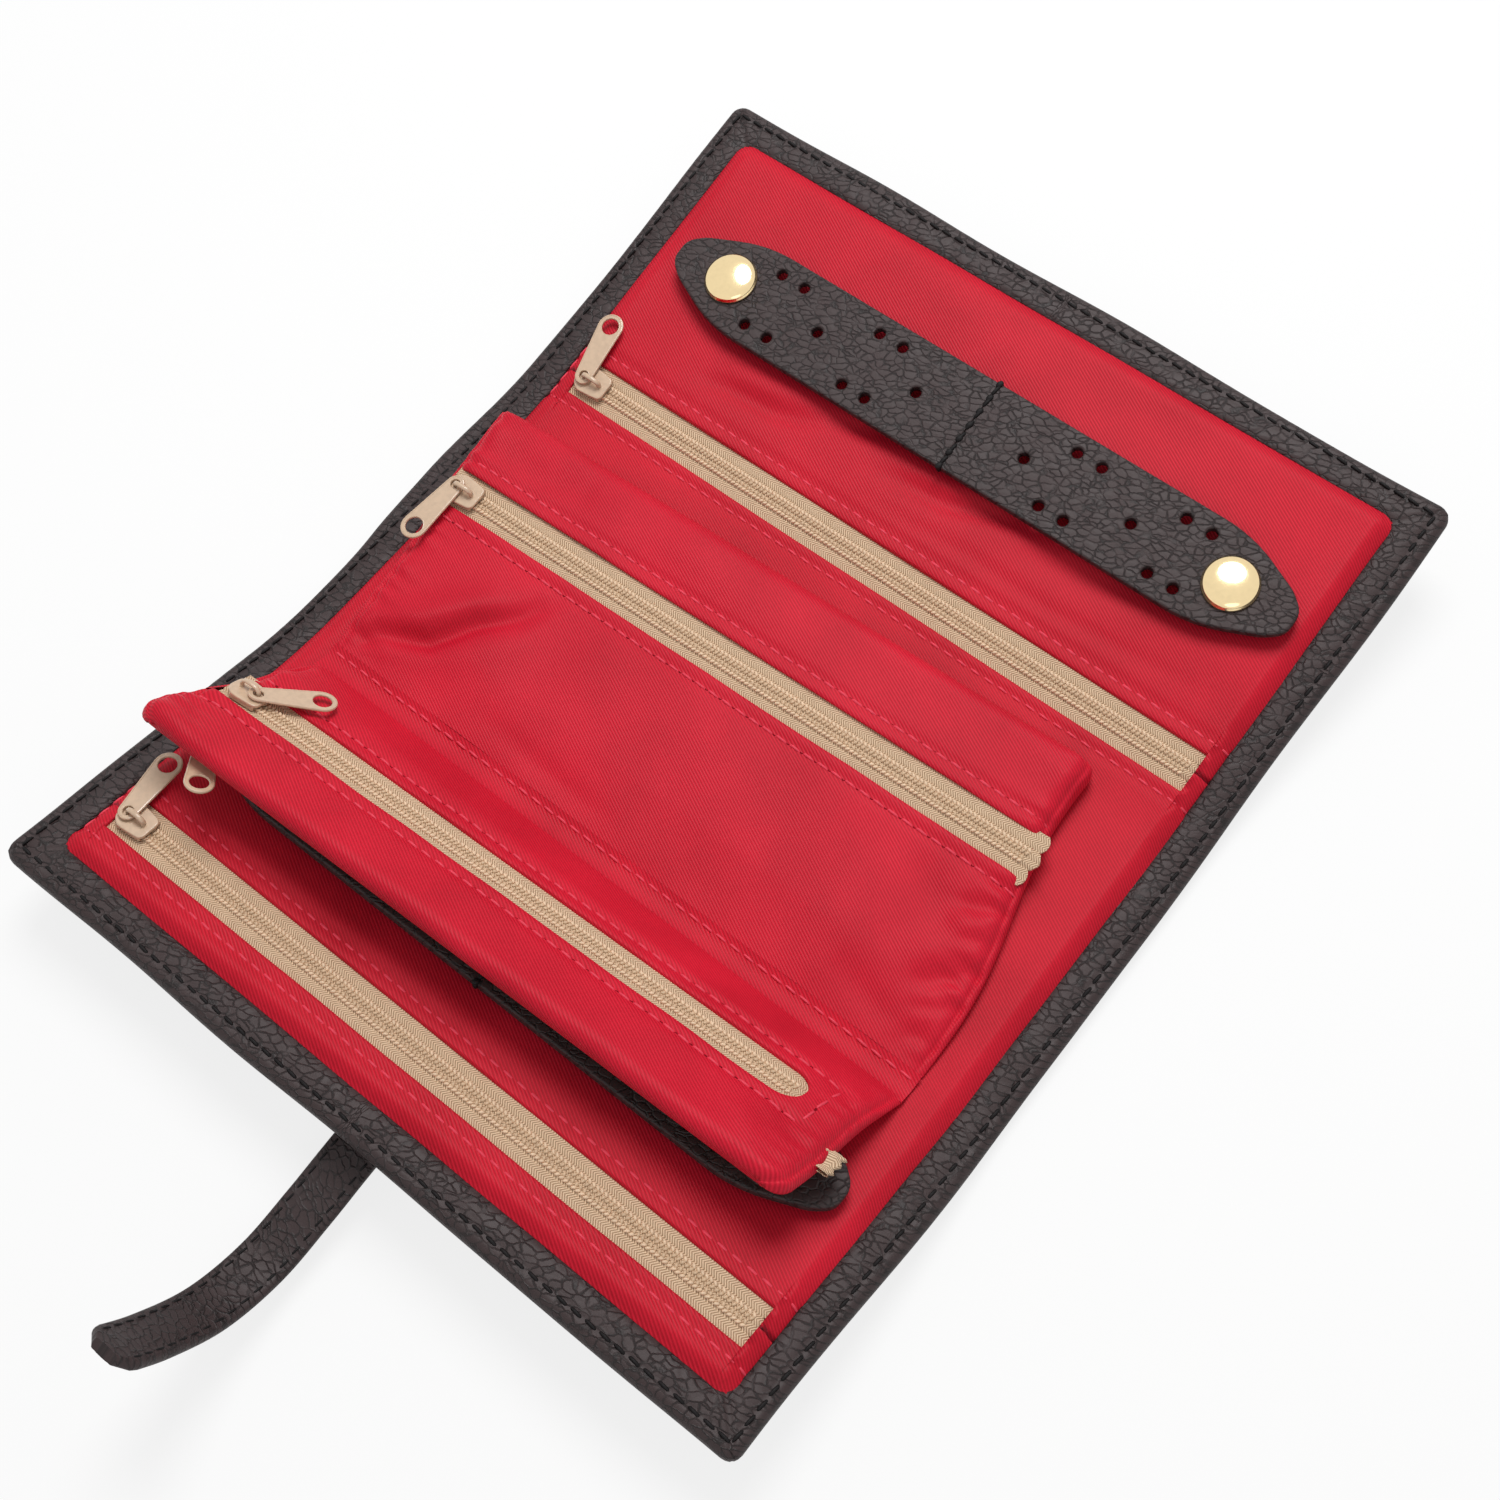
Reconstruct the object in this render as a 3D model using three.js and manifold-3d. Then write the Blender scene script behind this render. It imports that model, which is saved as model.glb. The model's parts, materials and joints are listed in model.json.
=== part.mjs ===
// Folding jewellery case, lying open on its back: a leather cover in three panels (inner flap, base and
// outer flap), two zipped flap pockets, two punched earring straps on snaps, and two zipped pouches sewn
// back to back along the fold of the outer flap. Millimetres, +Z up, the table at z = 0.
// +X runs along the folds and +Y from the outer flap, which carries the closing strap, to the inner flap.
import * as THREE from "three";
import { mergeVertices } from "three/addons/utils/BufferGeometryUtils.js";
import Module from "manifold-3d";

const wasm = await Module();
wasm.setup();
const radians = THREE.MathUtils.degToRad;

// Driving dimensions of the cover
const CASE_WIDTH = 190;
const INNER_FLAP_LENGTH = 86.5;
const OUTER_FLAP_LENGTH = 73.8;
const INNER_FOLD = { y: 32, z: 13.5, rise: 11.8, side: 1 };
const OUTER_FOLD = { y: -42, z: 26.5, rise: 12.6, side: -1 };
const FOLD_GAP = 0.5;
const SEAT_GAP = 0.3;
const LEATHER = 1.2;
const RIM_HEIGHT = 4.7;
const RIM_WALL = 1.6;
const CORNER_RADIUS = 3;
const HEM_WIDTH = 8.4;
const BOARD = 0.8;
const BOARD_INSET = 3;
const LINING = 0.6;
const LINING_EDGE_INSET = 2.2;
const LINING_STEP = 1;
const LINING_TOP = 6.7;
const POCKET_WALL = 0.4;
const POCKET_TOP = LINING_TOP - 2.2;
const INNER_POCKET_DEPTH = 62;
const OUTER_POCKET_DEPTH = 60;

// Zips, with the tape's middle plane as their z = 0
const TAPE_HALF_WIDTH = 6;
const TAPE = 0.5;
const WINDOW_HALF_WIDTH = 4.75;
const COIL_SLOT_HALF = 0.6;
const COIL_WIDTH = 1.5;
const COIL_END_INSET = 0.9;
const COIL_UP = 1.1;
const COIL_DOWN = 0.7;
const COIL_CHAMFER = 0.35;
const COIL_PITCH = 2.5;
const COIL_GROOVE = 0.7;
const COIL_SLANT = 0.4;
const SLIDER_LENGTH = 8.4;
const SLIDER_HALF_WIDTH = 3.5;
const SLIDER_PLATE = 0.8;
const SLIDER_CLEARANCE = 0.3;
const CROWN_SPAN = 4.4;
const CROWN_HEIGHT = 2.3;
const CROWN_BAR = 0.8;
const PULL_LENGTH = 16;
const PULL_WIDTH = 6;
const PULL_THICKNESS = 0.8;
const PULL_EYE_RADIUS = 1.1;
const PULL_EYE_WALL = 0.9;
const PULL_HOLE_RADIUS = 2.1;
const FLAP_ZIP_TAPE_Z = LINING_TOP - LINING - SEAT_GAP - TAPE / 2;
const FLAP_ZIP_FROM = 12.7 - CASE_WIDTH / 2;
const FLAP_ZIP_TO = CASE_WIDTH / 2 - 11.7;
const INNER_FLAP_ZIP = { from: FLAP_ZIP_FROM, to: FLAP_ZIP_TO, distance: 10, pullTurn: 100 };
const OUTER_FLAP_ZIP = { from: FLAP_ZIP_FROM, to: FLAP_ZIP_TO, distance: 52.7, pullTurn: 101 };

// Earring straps and their snaps, with heights above the table in the flat case
const STRAP_HALF_LENGTH = CASE_WIDTH / 2 - 14;
const STRAP_WIDTH = 23;
const STRAP_THICKNESS = 2.2;
const STRAP_BOTTOM = LINING_TOP + 2.2;
const STRAP_TAPER_LENGTH = 17;
const STRAP_TIP_HALF_WIDTH = 5.2;
const STRAP_TIP_RADIUS = 3;
const INNER_STRAP = { x: 1.5, distance: 46.3 };
const OUTER_STRAP = { x: 0, distance: 25.1 };
const SNAP_X = STRAP_HALF_LENGTH - 15;
const SNAP_HOLE_RADIUS = 3.2;
const CAP_RADIUS = 6;
const CAP_HEIGHT = 1.8;
const SHANK_RADIUS = 1.4;
const SOCKET_FLANGE_RADIUS = 5;
const SOCKET_OUTER_RADIUS = 2.9;
const SOCKET_INNER_RADIUS = 2.2;
const STUD_RADIUS = 1.8;
const EARRING_HOLE_RADIUS = 1.25;
const PAIRED_HOLES = [0.86, 0.765, 0.445, 0.35];
const SINGLE_HOLES = [0.629, 0.217];

// Pouches: lengths run from the root seam to the free edge
const POUCH_WIDTH = CASE_WIDTH - 33;
const POUCH_CENTRE_X = -1;
const POUCH_PLY = 0.6;
const POUCH_ROOT_HEIGHT = 1.4;
const POUCH_BOTTOM = LINING_TOP + 0.6;
const POUCH_LEAN = 0.14;
const POUCH_SPREAD = 0.0006;
const LARGE_POUCH = { rootY: -41, length: 69.5, shoulder: 14, shoulderHeight: 3.4, edgeHeight: 7.4, rise: 0 };
const SMALL_POUCH = {
  rootDistance: 1.5,
  length: 41,
  shoulder: 10,
  shoulderHeight: 4.5,
  edgeHeight: 5.2,
  rise: 20.5,
};
const LARGE_POUCH_ZIP = { distance: 45.7, pullTurn: -95 };
const SMALL_POUCH_ZIP = { distance: 20.3, to: CASE_WIDTH / 2 - 31, turn: 2.2, pullTurn: 45 };
const BACK_POUCH_ZIP = { distance: 32.5, pullTurn: 50 };

// Closing strap: its sewn root, then the free length as it lies and curls in the open case
const CLOSING_WIDTH = 11;
const CLOSING_THICKNESS = 2.2;
const CLOSING_ROOT_FROM = 26;
const CLOSING_ROOT_TO = 38;
const CLOSING_TIP_CHAMFER = 3;
const CLOSING_BEND = 4;
const CLOSING_BEND_GAP = 0.8;
const CLOSING_ROUTE = [
  [-86.2, 7.7],
  [-100, 8.8],
  [-118.7, 8.1],
  [-132.4, 6.6],
  [-145.5, 6.4],
  [-157.5, 12.4],
  [-166.3, 24.6],
  [-172, 37],
];
const MAGNET_RADIUS = 3.8;
const MAGNET_THICKNESS = 0.7;
const MAGNET_FROM_TIP = 9;
const PLATE_RADIUS = 6;
const PLATE_THICKNESS = 0.9;
const PLATE_Y = 18;

// Materials
const leather = new THREE.MeshStandardMaterial({ color: 0x3b3737, roughness: 0.55, metalness: 0 });
const redLining = new THREE.MeshStandardMaterial({ color: 0xb81c30, roughness: 0.6, metalness: 0 });
const pocketCloth = new THREE.MeshStandardMaterial({ color: 0x8f1626, roughness: 0.8, metalness: 0 });
const zipTape = new THREE.MeshStandardMaterial({ color: 0xcdb48c, roughness: 0.75, metalness: 0 });
const paintedZinc = new THREE.MeshStandardMaterial({ color: 0xc9b392, roughness: 0.35, metalness: 0.2 });
const paleBrass = new THREE.MeshStandardMaterial({ color: 0xd9bd7d, roughness: 0.22, metalness: 1 });
const steel = new THREE.MeshStandardMaterial({ color: 0x9c9c9c, roughness: 0.35, metalness: 1 });
const greyBoard = new THREE.MeshStandardMaterial({ color: 0x8d8578, roughness: 0.9, metalness: 0 });
const foam = new THREE.MeshStandardMaterial({ color: 0xd8d4ca, roughness: 0.95, metalness: 0 });

// Solids and booleans
function solidOf(geometry) {
  const bare = geometry.clone();
  for (const name of Object.keys(bare.attributes)) if (name !== "position") bare.deleteAttribute(name);
  const merged = mergeVertices(bare, 1e-4);
  return new wasm.Manifold(
    new wasm.Mesh({
      numProp: 3,
      vertProperties: new Float32Array(merged.attributes.position.array),
      triVerts: new Uint32Array(merged.index.array),
    }),
  );
}

function geometryOf(solid) {
  const { numProp, vertProperties, triVerts } = solid.getMesh();
  const positions = new Float32Array((vertProperties.length / numProp) * 3);
  for (let i = 0; i < positions.length / 3; i++) {
    positions.set(vertProperties.subarray(i * numProp, i * numProp + 3), i * 3);
  }
  const geometry = new THREE.BufferGeometry();
  geometry.setAttribute("position", new THREE.BufferAttribute(positions, 3));
  geometry.setIndex(new THREE.BufferAttribute(new Uint32Array(triVerts), 1));
  return geometry;
}

const cut = (base, ...tools) => geometryOf(tools.reduce((a, b) => a.subtract(solidOf(b)), solidOf(base)));
const join = (...pieces) => geometryOf(pieces.map(solidOf).reduce((a, b) => a.add(b)));

function block(x0, x1, y0, y1, z0, z1) {
  const box = new THREE.BoxGeometry(x1 - x0, Math.abs(y1 - y0), z1 - z0);
  return box.translate((x0 + x1) / 2, (y0 + y1) / 2, (z0 + z1) / 2);
}

function prism(shape, z0, z1, curveSegments = 6) {
  const body = new THREE.ExtrudeGeometry(shape, { depth: z1 - z0, bevelEnabled: false, curveSegments });
  return body.translate(0, 0, z0);
}

// A profile drawn in (y, z) and drawn out along x
function acrossX(profile, x0, x1) {
  const shape = new THREE.Shape(profile.map(([y, z]) => new THREE.Vector2(y, z)));
  const body = new THREE.ExtrudeGeometry(shape, { depth: x1 - x0, bevelEnabled: false });
  const turn = new THREE.Matrix4().makeBasis(
    new THREE.Vector3(0, 1, 0),
    new THREE.Vector3(0, 0, 1),
    new THREE.Vector3(1, 0, 0),
  );
  return body.applyMatrix4(turn).translate(x0, 0, 0);
}

function disc(radius, z0, z1, sides = 16) {
  const body = new THREE.CylinderGeometry(radius, radius, z1 - z0, sides);
  return body.rotateX(Math.PI / 2).translate(0, 0, (z0 + z1) / 2);
}

// A profile of [radius, z] points turned round the z axis
function turned(profile, sides = 16) {
  const points = profile.map(([r, z]) => new THREE.Vector2(r, z));
  return new THREE.LatheGeometry(points, sides).rotateX(Math.PI / 2);
}

function roundedRectangle(x0, x1, y0, y1, radius) {
  const shape = new THREE.Shape();
  shape.absarc(x1 - radius, y0 + radius, radius, -Math.PI / 2, 0);
  shape.absarc(x1 - radius, y1 - radius, radius, 0, Math.PI / 2);
  shape.absarc(x0 + radius, y1 - radius, radius, Math.PI / 2, Math.PI);
  shape.absarc(x0 + radius, y0 + radius, radius, Math.PI, Math.PI * 1.5);
  return shape;
}

// A slab with half-round edges all round and rounded corners
function rolledSlab(x0, x1, y0, y1, height, cornerRadius) {
  const r = height / 2;
  const shape = roundedRectangle(x0 + r, x1 - r, y0 + r, y1 - r, cornerRadius - r);
  const body = new THREE.ExtrudeGeometry(shape, {
    depth: 0.001,
    bevelThickness: r,
    bevelSize: r,
    bevelSegments: 3,
    curveSegments: 2,
  });
  return body.translate(0, 0, r);
}

function addPiece(group, name, geometry, material) {
  const piece = new THREE.Mesh(geometry, material);
  piece.name = name;
  group.add(piece);
  return piece;
}

// Groups of the open case: each flap turns about its raised fold line and keeps flat-case coordinates inside
const jewelleryCase = new THREE.Group();
function flapGroup(fold) {
  const hinge = new THREE.Group();
  hinge.position.set(0, fold.y, fold.z);
  hinge.rotation.x = fold.side * radians(fold.rise);
  const flat = new THREE.Group();
  flat.position.set(0, -fold.y, -fold.z);
  hinge.add(flat);
  jewelleryCase.add(hinge);
  return flat;
}
const innerFlap = flapGroup(INNER_FOLD);
const outerFlap = flapGroup(OUTER_FOLD);

// The (y, z) of a flat-case point once its flap lies open
function openPoint(fold, y, z) {
  const angle = fold.side * radians(fold.rise);
  const dy = y - fold.y;
  const dz = z - fold.z;
  return [
    fold.y + dy * Math.cos(angle) - dz * Math.sin(angle),
    fold.z + dy * Math.sin(angle) + dz * Math.cos(angle),
  ];
}

// Panels. A panel runs from y0 to y1, and each end is a fold or a hemmed edge
const half = CASE_WIDTH / 2;
const innerEnd = INNER_FOLD.y + INNER_FLAP_LENGTH;
const outerEnd = OUTER_FOLD.y - OUTER_FLAP_LENGTH;
const PANELS = {
  base: { group: jewelleryCase, y0: OUTER_FOLD.y + FOLD_GAP / 2, y1: INNER_FOLD.y - FOLD_GAP / 2 },
  inner_flap: { group: innerFlap, y0: INNER_FOLD.y + FOLD_GAP / 2, y1: innerEnd, hem1: true },
  outer_flap: { group: outerFlap, y0: outerEnd, y1: OUTER_FOLD.y - FOLD_GAP / 2, hem0: true },
};
const CUT_MARGIN = 10;

// The y range of a panel with its hemmed ends drawn in by an inset, and its fold ends moved by a shift
const span = (panel, inset, foldShift = 0) => [
  panel.y0 + (panel.hem0 ? inset : foldShift),
  panel.y1 - (panel.hem1 ? inset : foldShift),
];

function coverLeather(panel) {
  const [y0, y1] = span(panel, 0, -CUT_MARGIN);
  const slab = rolledSlab(-half, half, y0, y1, RIM_HEIGHT, CORNER_RADIUS);
  const cavity = span(panel, RIM_WALL, -CUT_MARGIN * 2);
  const opening = span(panel, HEM_WIDTH, -CUT_MARGIN * 2);
  const hemBottom = RIM_HEIGHT - LEATHER;
  const tools = [
    block(-half + RIM_WALL, half - RIM_WALL, ...cavity, LEATHER, hemBottom),
    block(-half + HEM_WIDTH, half - HEM_WIDTH, ...opening, hemBottom - 0.1, RIM_HEIGHT + 1),
  ];
  if (!panel.hem0) tools.push(block(-half - 1, half + 1, y0 - CUT_MARGIN, panel.y0, -1, RIM_HEIGHT + 1));
  if (!panel.hem1) tools.push(block(-half - 1, half + 1, panel.y1, y1 + CUT_MARGIN, -1, RIM_HEIGHT + 1));
  return cut(slab, ...tools);
}

// A closed stack of rectangles, each [inset, z], for shells that step up from under the hem
function steppedBlock(panel, rings) {
  const positions = [];
  const corners = rings.map(([inset, z]) => {
    const [y0, y1] = span(panel, inset);
    const x = half - inset;
    return [
      [-x, y0, z],
      [x, y0, z],
      [x, y1, z],
      [-x, y1, z],
    ];
  });
  const quad = (a, b, c, d) => positions.push(...a, ...b, ...c, ...a, ...c, ...d);
  for (let i = 0; i + 1 < corners.length; i++) {
    for (let k = 0; k < 4; k++) {
      const next = (k + 1) % 4;
      quad(corners[i][k], corners[i][next], corners[i + 1][next], corners[i + 1][k]);
    }
  }
  const bottom = corners[0];
  const top = corners[corners.length - 1];
  quad(bottom[3], bottom[2], bottom[1], bottom[0]);
  quad(top[0], top[1], top[2], top[3]);
  const geometry = new THREE.BufferGeometry();
  geometry.setAttribute("position", new THREE.Float32BufferAttribute(positions, 3));
  return geometry;
}

const liningEdgeTop = RIM_HEIGHT - LEATHER - SEAT_GAP;
const plateauInset = HEM_WIDTH + SEAT_GAP + LINING_STEP;

function windowCut(zip, y) {
  const end = WINDOW_HALF_WIDTH;
  const shape = new THREE.Shape();
  shape.moveTo(zip.from, y - end).lineTo(zip.to - end, y - end);
  shape.absarc(zip.to - end, y, end, -Math.PI / 2, Math.PI / 2);
  shape.lineTo(zip.from, y + end).closePath();
  return prism(shape, 0, LINING_TOP + 1, 8);
}

function panelLining(panel, windows) {
  const outer = steppedBlock(panel, [
    [LINING_EDGE_INSET, liningEdgeTop - LINING],
    [LINING_EDGE_INSET, liningEdgeTop],
    [HEM_WIDTH + SEAT_GAP, liningEdgeTop],
    [plateauInset, LINING_TOP],
  ]);
  const hollowPanel = { ...panel, y0: panel.y0 - (panel.hem0 ? 0 : 1), y1: panel.y1 + (panel.hem1 ? 0 : 1) };
  const hollow = steppedBlock(hollowPanel, [
    [HEM_WIDTH + SEAT_GAP + LINING, liningEdgeTop - LINING - 1],
    [HEM_WIDTH + SEAT_GAP + LINING, liningEdgeTop - LINING],
    [plateauInset + LINING, LINING_TOP - LINING],
  ]);
  return cut(outer, hollow, ...windows);
}

const boardBottom = LEATHER + SEAT_GAP;
const pocketBottom = boardBottom + BOARD + SEAT_GAP;

function stiffener(panel) {
  const x = half - BOARD_INSET;
  return block(-x, x, ...span(panel, BOARD_INSET), boardBottom, boardBottom + BOARD);
}

// The pocket bag is a shallow tray of cloth that hangs under the zip
function pocketTray(fold, depth) {
  const x = half - plateauInset - LINING - SEAT_GAP;
  const near = fold.y + fold.side * (FOLD_GAP / 2 + POCKET_WALL);
  const far = fold.y + fold.side * depth;
  const tray = block(-x, x, near, far, pocketBottom, POCKET_TOP);
  const inside = block(
    -x + POCKET_WALL,
    x - POCKET_WALL,
    near + fold.side * POCKET_WALL,
    far - fold.side * POCKET_WALL,
    pocketBottom + POCKET_WALL,
    POCKET_TOP + 1,
  );
  return cut(tray, inside);
}

// Each half of a zip's coil is a rib along the tape's inner edge, with a slanted groove between its turns
function coilHalf(from, to, side) {
  const inner = side * COIL_SLOT_HALF;
  const outer = inner + side * COIL_WIDTH;
  const crest = COIL_UP + 0.1;
  const shoulder = TAPE / 2 + 0.1;
  const rib = acrossX(
    [
      [inner, -COIL_DOWN],
      [outer, -COIL_DOWN],
      [outer, shoulder],
      [outer - side * COIL_CHAMFER, crest],
      [inner + side * COIL_CHAMFER, crest],
      [inner, shoulder],
    ],
    from,
    to,
  );
  const turns = Math.round((to - from) / COIL_PITCH);
  const pitch = (to - from) / turns;
  const shape = new THREE.Shape();
  shape.moveTo(from - pitch * 2, crest + 1);
  for (let i = -2; i < turns + 2; i++) {
    shape.lineTo(from + i * pitch, COIL_UP);
    shape.lineTo(from + (i + 0.5) * pitch, COIL_UP - COIL_GROOVE);
  }
  shape.lineTo(to + pitch * 2, crest + 1).closePath();
  const grooves = prism(shape, -COIL_WIDTH, COIL_WIDTH).rotateX(Math.PI / 2);
  const slant = new THREE.Matrix4().makeShear(0, 0, COIL_SLANT, 0, 0, 0);
  return cut(rib, grooves.applyMatrix4(slant).translate(0, (inner + outer) / 2, 0));
}

function zipHalf(tapeFrom, tapeTo, coilFrom, coilTo, side) {
  const tape = block(tapeFrom, tapeTo, side * COIL_SLOT_HALF, side * TAPE_HALF_WIDTH, -TAPE / 2, TAPE / 2);
  return join(tape, coilHalf(coilFrom, coilTo, side));
}

// The slider's two plates straddle the coil, joined by the wedge post that runs in the slot
const plateTop = COIL_UP + SLIDER_CLEARANCE + SLIDER_PLATE;
const plateBottom = -COIL_DOWN - SLIDER_CLEARANCE - SLIDER_PLATE;
const crownX = CROWN_SPAN / 2;

function sliderPlate(z0, z1) {
  const nose = SLIDER_LENGTH / 2;
  const w = SLIDER_HALF_WIDTH;
  const shape = new THREE.Shape();
  shape.moveTo(-nose, -w * 0.55).lineTo(-nose * 0.55, -w).lineTo(nose * 0.3, -w * 0.9).lineTo(nose, -w * 0.8);
  shape.lineTo(nose, w * 0.8).lineTo(nose * 0.3, w * 0.9).lineTo(-nose * 0.55, w).lineTo(-nose, w * 0.55);
  shape.closePath();
  return prism(shape, z0, z1);
}

function slider() {
  const flangeInner = COIL_SLOT_HALF + COIL_WIDTH + SLIDER_CLEARANCE;
  const tapeGap = TAPE / 2 + SLIDER_CLEARANCE;
  const nose = SLIDER_LENGTH / 2;
  const full = sliderPlate(plateBottom, plateTop);
  const coilChannel = (side) =>
    block(
      -nose - 1,
      nose + 1,
      side * (COIL_SLOT_HALF - SLIDER_CLEARANCE),
      side * flangeInner,
      -COIL_DOWN - SLIDER_CLEARANCE,
      COIL_UP + SLIDER_CLEARANCE,
    );
  const tapeChannel = (side) =>
    block(-nose - 1, nose + 1, side * flangeInner, side * (SLIDER_HALF_WIDTH + 1), -tapeGap, tapeGap);
  const behindPost = block(
    0.4,
    nose + 1,
    -COIL_SLOT_HALF,
    COIL_SLOT_HALF,
    -COIL_DOWN - SLIDER_CLEARANCE,
    COIL_UP + SLIDER_CLEARANCE,
  );
  const body = cut(full, coilChannel(1), coilChannel(-1), tapeChannel(1), tapeChannel(-1), behindPost);
  const crownTop = plateTop + CROWN_HEIGHT;
  const arch = new THREE.Shape();
  arch.moveTo(-crownX - CROWN_BAR / 2, plateTop - 0.2).lineTo(-crownX - CROWN_BAR / 2, crownTop - 0.7);
  arch.lineTo(-crownX + 0.3, crownTop).lineTo(crownX - 0.3, crownTop);
  arch.lineTo(crownX + CROWN_BAR / 2, crownTop - 0.7).lineTo(crownX + CROWN_BAR / 2, plateTop - 0.2);
  arch.lineTo(crownX - CROWN_BAR / 2, plateTop - 0.2).lineTo(crownX - CROWN_BAR / 2, crownTop - CROWN_BAR);
  arch.lineTo(-crownX + CROWN_BAR / 2, crownTop - CROWN_BAR).lineTo(-crownX + CROWN_BAR / 2, plateTop - 0.2);
  arch.closePath();
  const crown = prism(arch, -CROWN_BAR / 2, CROWN_BAR / 2).rotateX(Math.PI / 2);
  return join(body, crown);
}

// The pull points along +X from its eye round the crown post, and widens to a round end with a punched hole
function pull() {
  const z0 = plateTop + SLIDER_CLEARANCE;
  const end = PULL_LENGTH - PULL_WIDTH / 2;
  const shape = new THREE.Shape();
  shape.absarc(0, 0, PULL_EYE_RADIUS + PULL_EYE_WALL, Math.PI / 3, (5 * Math.PI) / 3);
  shape.lineTo(end, -PULL_WIDTH / 2);
  shape.absarc(end, 0, PULL_WIDTH / 2, -Math.PI / 2, Math.PI / 2);
  shape.closePath();
  const eye = new THREE.Path().absarc(0, 0, PULL_EYE_RADIUS, 0, Math.PI * 2, true);
  const grip = new THREE.Path().absarc(end, 0, PULL_HOLE_RADIUS, 0, Math.PI * 2, true);
  shape.holes.push(eye, grip);
  return prism(shape, z0, z0 + PULL_THICKNESS, 8);
}

// Fits a zip, its slider and its pull in a group whose z = 0 is the tape plane
function fitZip(group, name, { from, to, tapeFrom = from - 1, tapeTo = to + 0.5, pullTurn, post = -1 }) {
  const coil = [from + COIL_END_INSET, to - COIL_END_INSET];
  addPiece(group, `${name}_tape_far`, zipHalf(tapeFrom, tapeTo, ...coil, 1), zipTape);
  addPiece(group, `${name}_tape_near`, zipHalf(tapeFrom, tapeTo, ...coil, -1), zipTape);
  const carriage = new THREE.Group();
  carriage.position.x = from + SLIDER_LENGTH / 2;
  group.add(carriage);
  addPiece(carriage, `${name}_slider`, slider(), paintedZinc);
  const swivel = new THREE.Group();
  swivel.position.x = post * crownX;
  swivel.rotation.z = radians(pullTurn);
  carriage.add(swivel);
  addPiece(swivel, `${name}_pull`, pull(), paintedZinc);
}

// Earring strap: two halves that meet at the sewn middle, each with one snap and ten punched holes whose
// places are fractions of the way from the middle to the snap
function strapHalf(side) {
  const w = STRAP_WIDTH / 2;
  const tip = STRAP_HALF_LENGTH;
  const tipHalf = STRAP_TIP_HALF_WIDTH;
  const taperStart = tip - STRAP_TAPER_LENGTH;
  const taperMiddle = tip - STRAP_TAPER_LENGTH * 0.6;
  const shape = new THREE.Shape();
  shape.moveTo(SEAT_GAP, -w).lineTo(taperStart, -w);
  shape.quadraticCurveTo(taperMiddle, -w, tip - STRAP_TIP_RADIUS, -tipHalf - 1);
  shape.quadraticCurveTo(tip, -tipHalf + 1, tip, -tipHalf + 3);
  shape.lineTo(tip, tipHalf - 3);
  shape.quadraticCurveTo(tip, tipHalf - 1, tip - STRAP_TIP_RADIUS, tipHalf + 1);
  shape.quadraticCurveTo(taperMiddle, w, taperStart, w);
  shape.lineTo(SEAT_GAP, w).closePath();
  const punch = (x, y, radius) => {
    shape.holes.push(new THREE.Path().absarc(x, y, radius, 0, Math.PI * 2, true));
  };
  punch(SNAP_X, 0, SNAP_HOLE_RADIUS);
  const row = STRAP_WIDTH * 0.31;
  for (const along of PAIRED_HOLES) {
    punch(along * SNAP_X, -row, EARRING_HOLE_RADIUS);
    punch(along * SNAP_X, row, EARRING_HOLE_RADIUS);
  }
  for (const along of SINGLE_HOLES) punch(along * SNAP_X, 0, EARRING_HOLE_RADIUS);
  const body = prism(shape, STRAP_BOTTOM, STRAP_BOTTOM + STRAP_THICKNESS);
  return side > 0 ? body : body.rotateZ(Math.PI);
}

function snapCap() {
  const seat = STRAP_BOTTOM + STRAP_THICKNESS + SEAT_GAP;
  const shankEnd = STRAP_BOTTOM + 0.8;
  const rim = 0.5;
  return turned([
    [0, shankEnd],
    [SHANK_RADIUS, shankEnd],
    [SHANK_RADIUS, seat],
    [CAP_RADIUS, seat],
    [CAP_RADIUS, seat + rim],
    [CAP_RADIUS * 0.85, seat + CAP_HEIGHT * 0.65],
    [CAP_RADIUS * 0.5, seat + CAP_HEIGHT * 0.93],
    [0, seat + CAP_HEIGHT],
  ]);
}

function snapSocket() {
  const flangeTop = STRAP_BOTTOM - SEAT_GAP;
  const flangeBottom = flangeTop - 0.6;
  const tubeTop = STRAP_BOTTOM + STRAP_THICKNESS - 0.4;
  return turned([
    [SOCKET_INNER_RADIUS, flangeBottom],
    [SOCKET_FLANGE_RADIUS, flangeBottom],
    [SOCKET_FLANGE_RADIUS, flangeTop],
    [SOCKET_OUTER_RADIUS, flangeTop],
    [SOCKET_OUTER_RADIUS, tubeTop],
    [SOCKET_INNER_RADIUS, tubeTop],
    [SOCKET_INNER_RADIUS, flangeBottom],
  ]);
}

function snapStud() {
  const base = LINING_TOP + SEAT_GAP;
  const top = STRAP_BOTTOM + 0.4;
  return turned([
    [0, base],
    [SOCKET_FLANGE_RADIUS, base],
    [SOCKET_FLANGE_RADIUS, base + 0.5],
    [STUD_RADIUS * 0.8, base + 0.6],
    [STUD_RADIUS, top - 0.6],
    [STUD_RADIUS * 0.7, top],
    [0, top],
  ]);
}

function fitStrap(group, name, middle, y) {
  for (const [word, side] of [
    ["left", -1],
    ["right", 1],
  ]) {
    addPiece(group, `${name}_${word}`, strapHalf(side).translate(middle, y, 0), leather);
    const x = middle + side * SNAP_X;
    addPiece(group, `${name}_cap_${word}`, snapCap().translate(x, y, 0), paleBrass);
    addPiece(group, `${name}_socket_${word}`, snapSocket().translate(x, y, 0), steel);
    addPiece(group, `${name}_stud_${word}`, snapStud().translate(x, y, 0), steel);
  }
}

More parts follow.
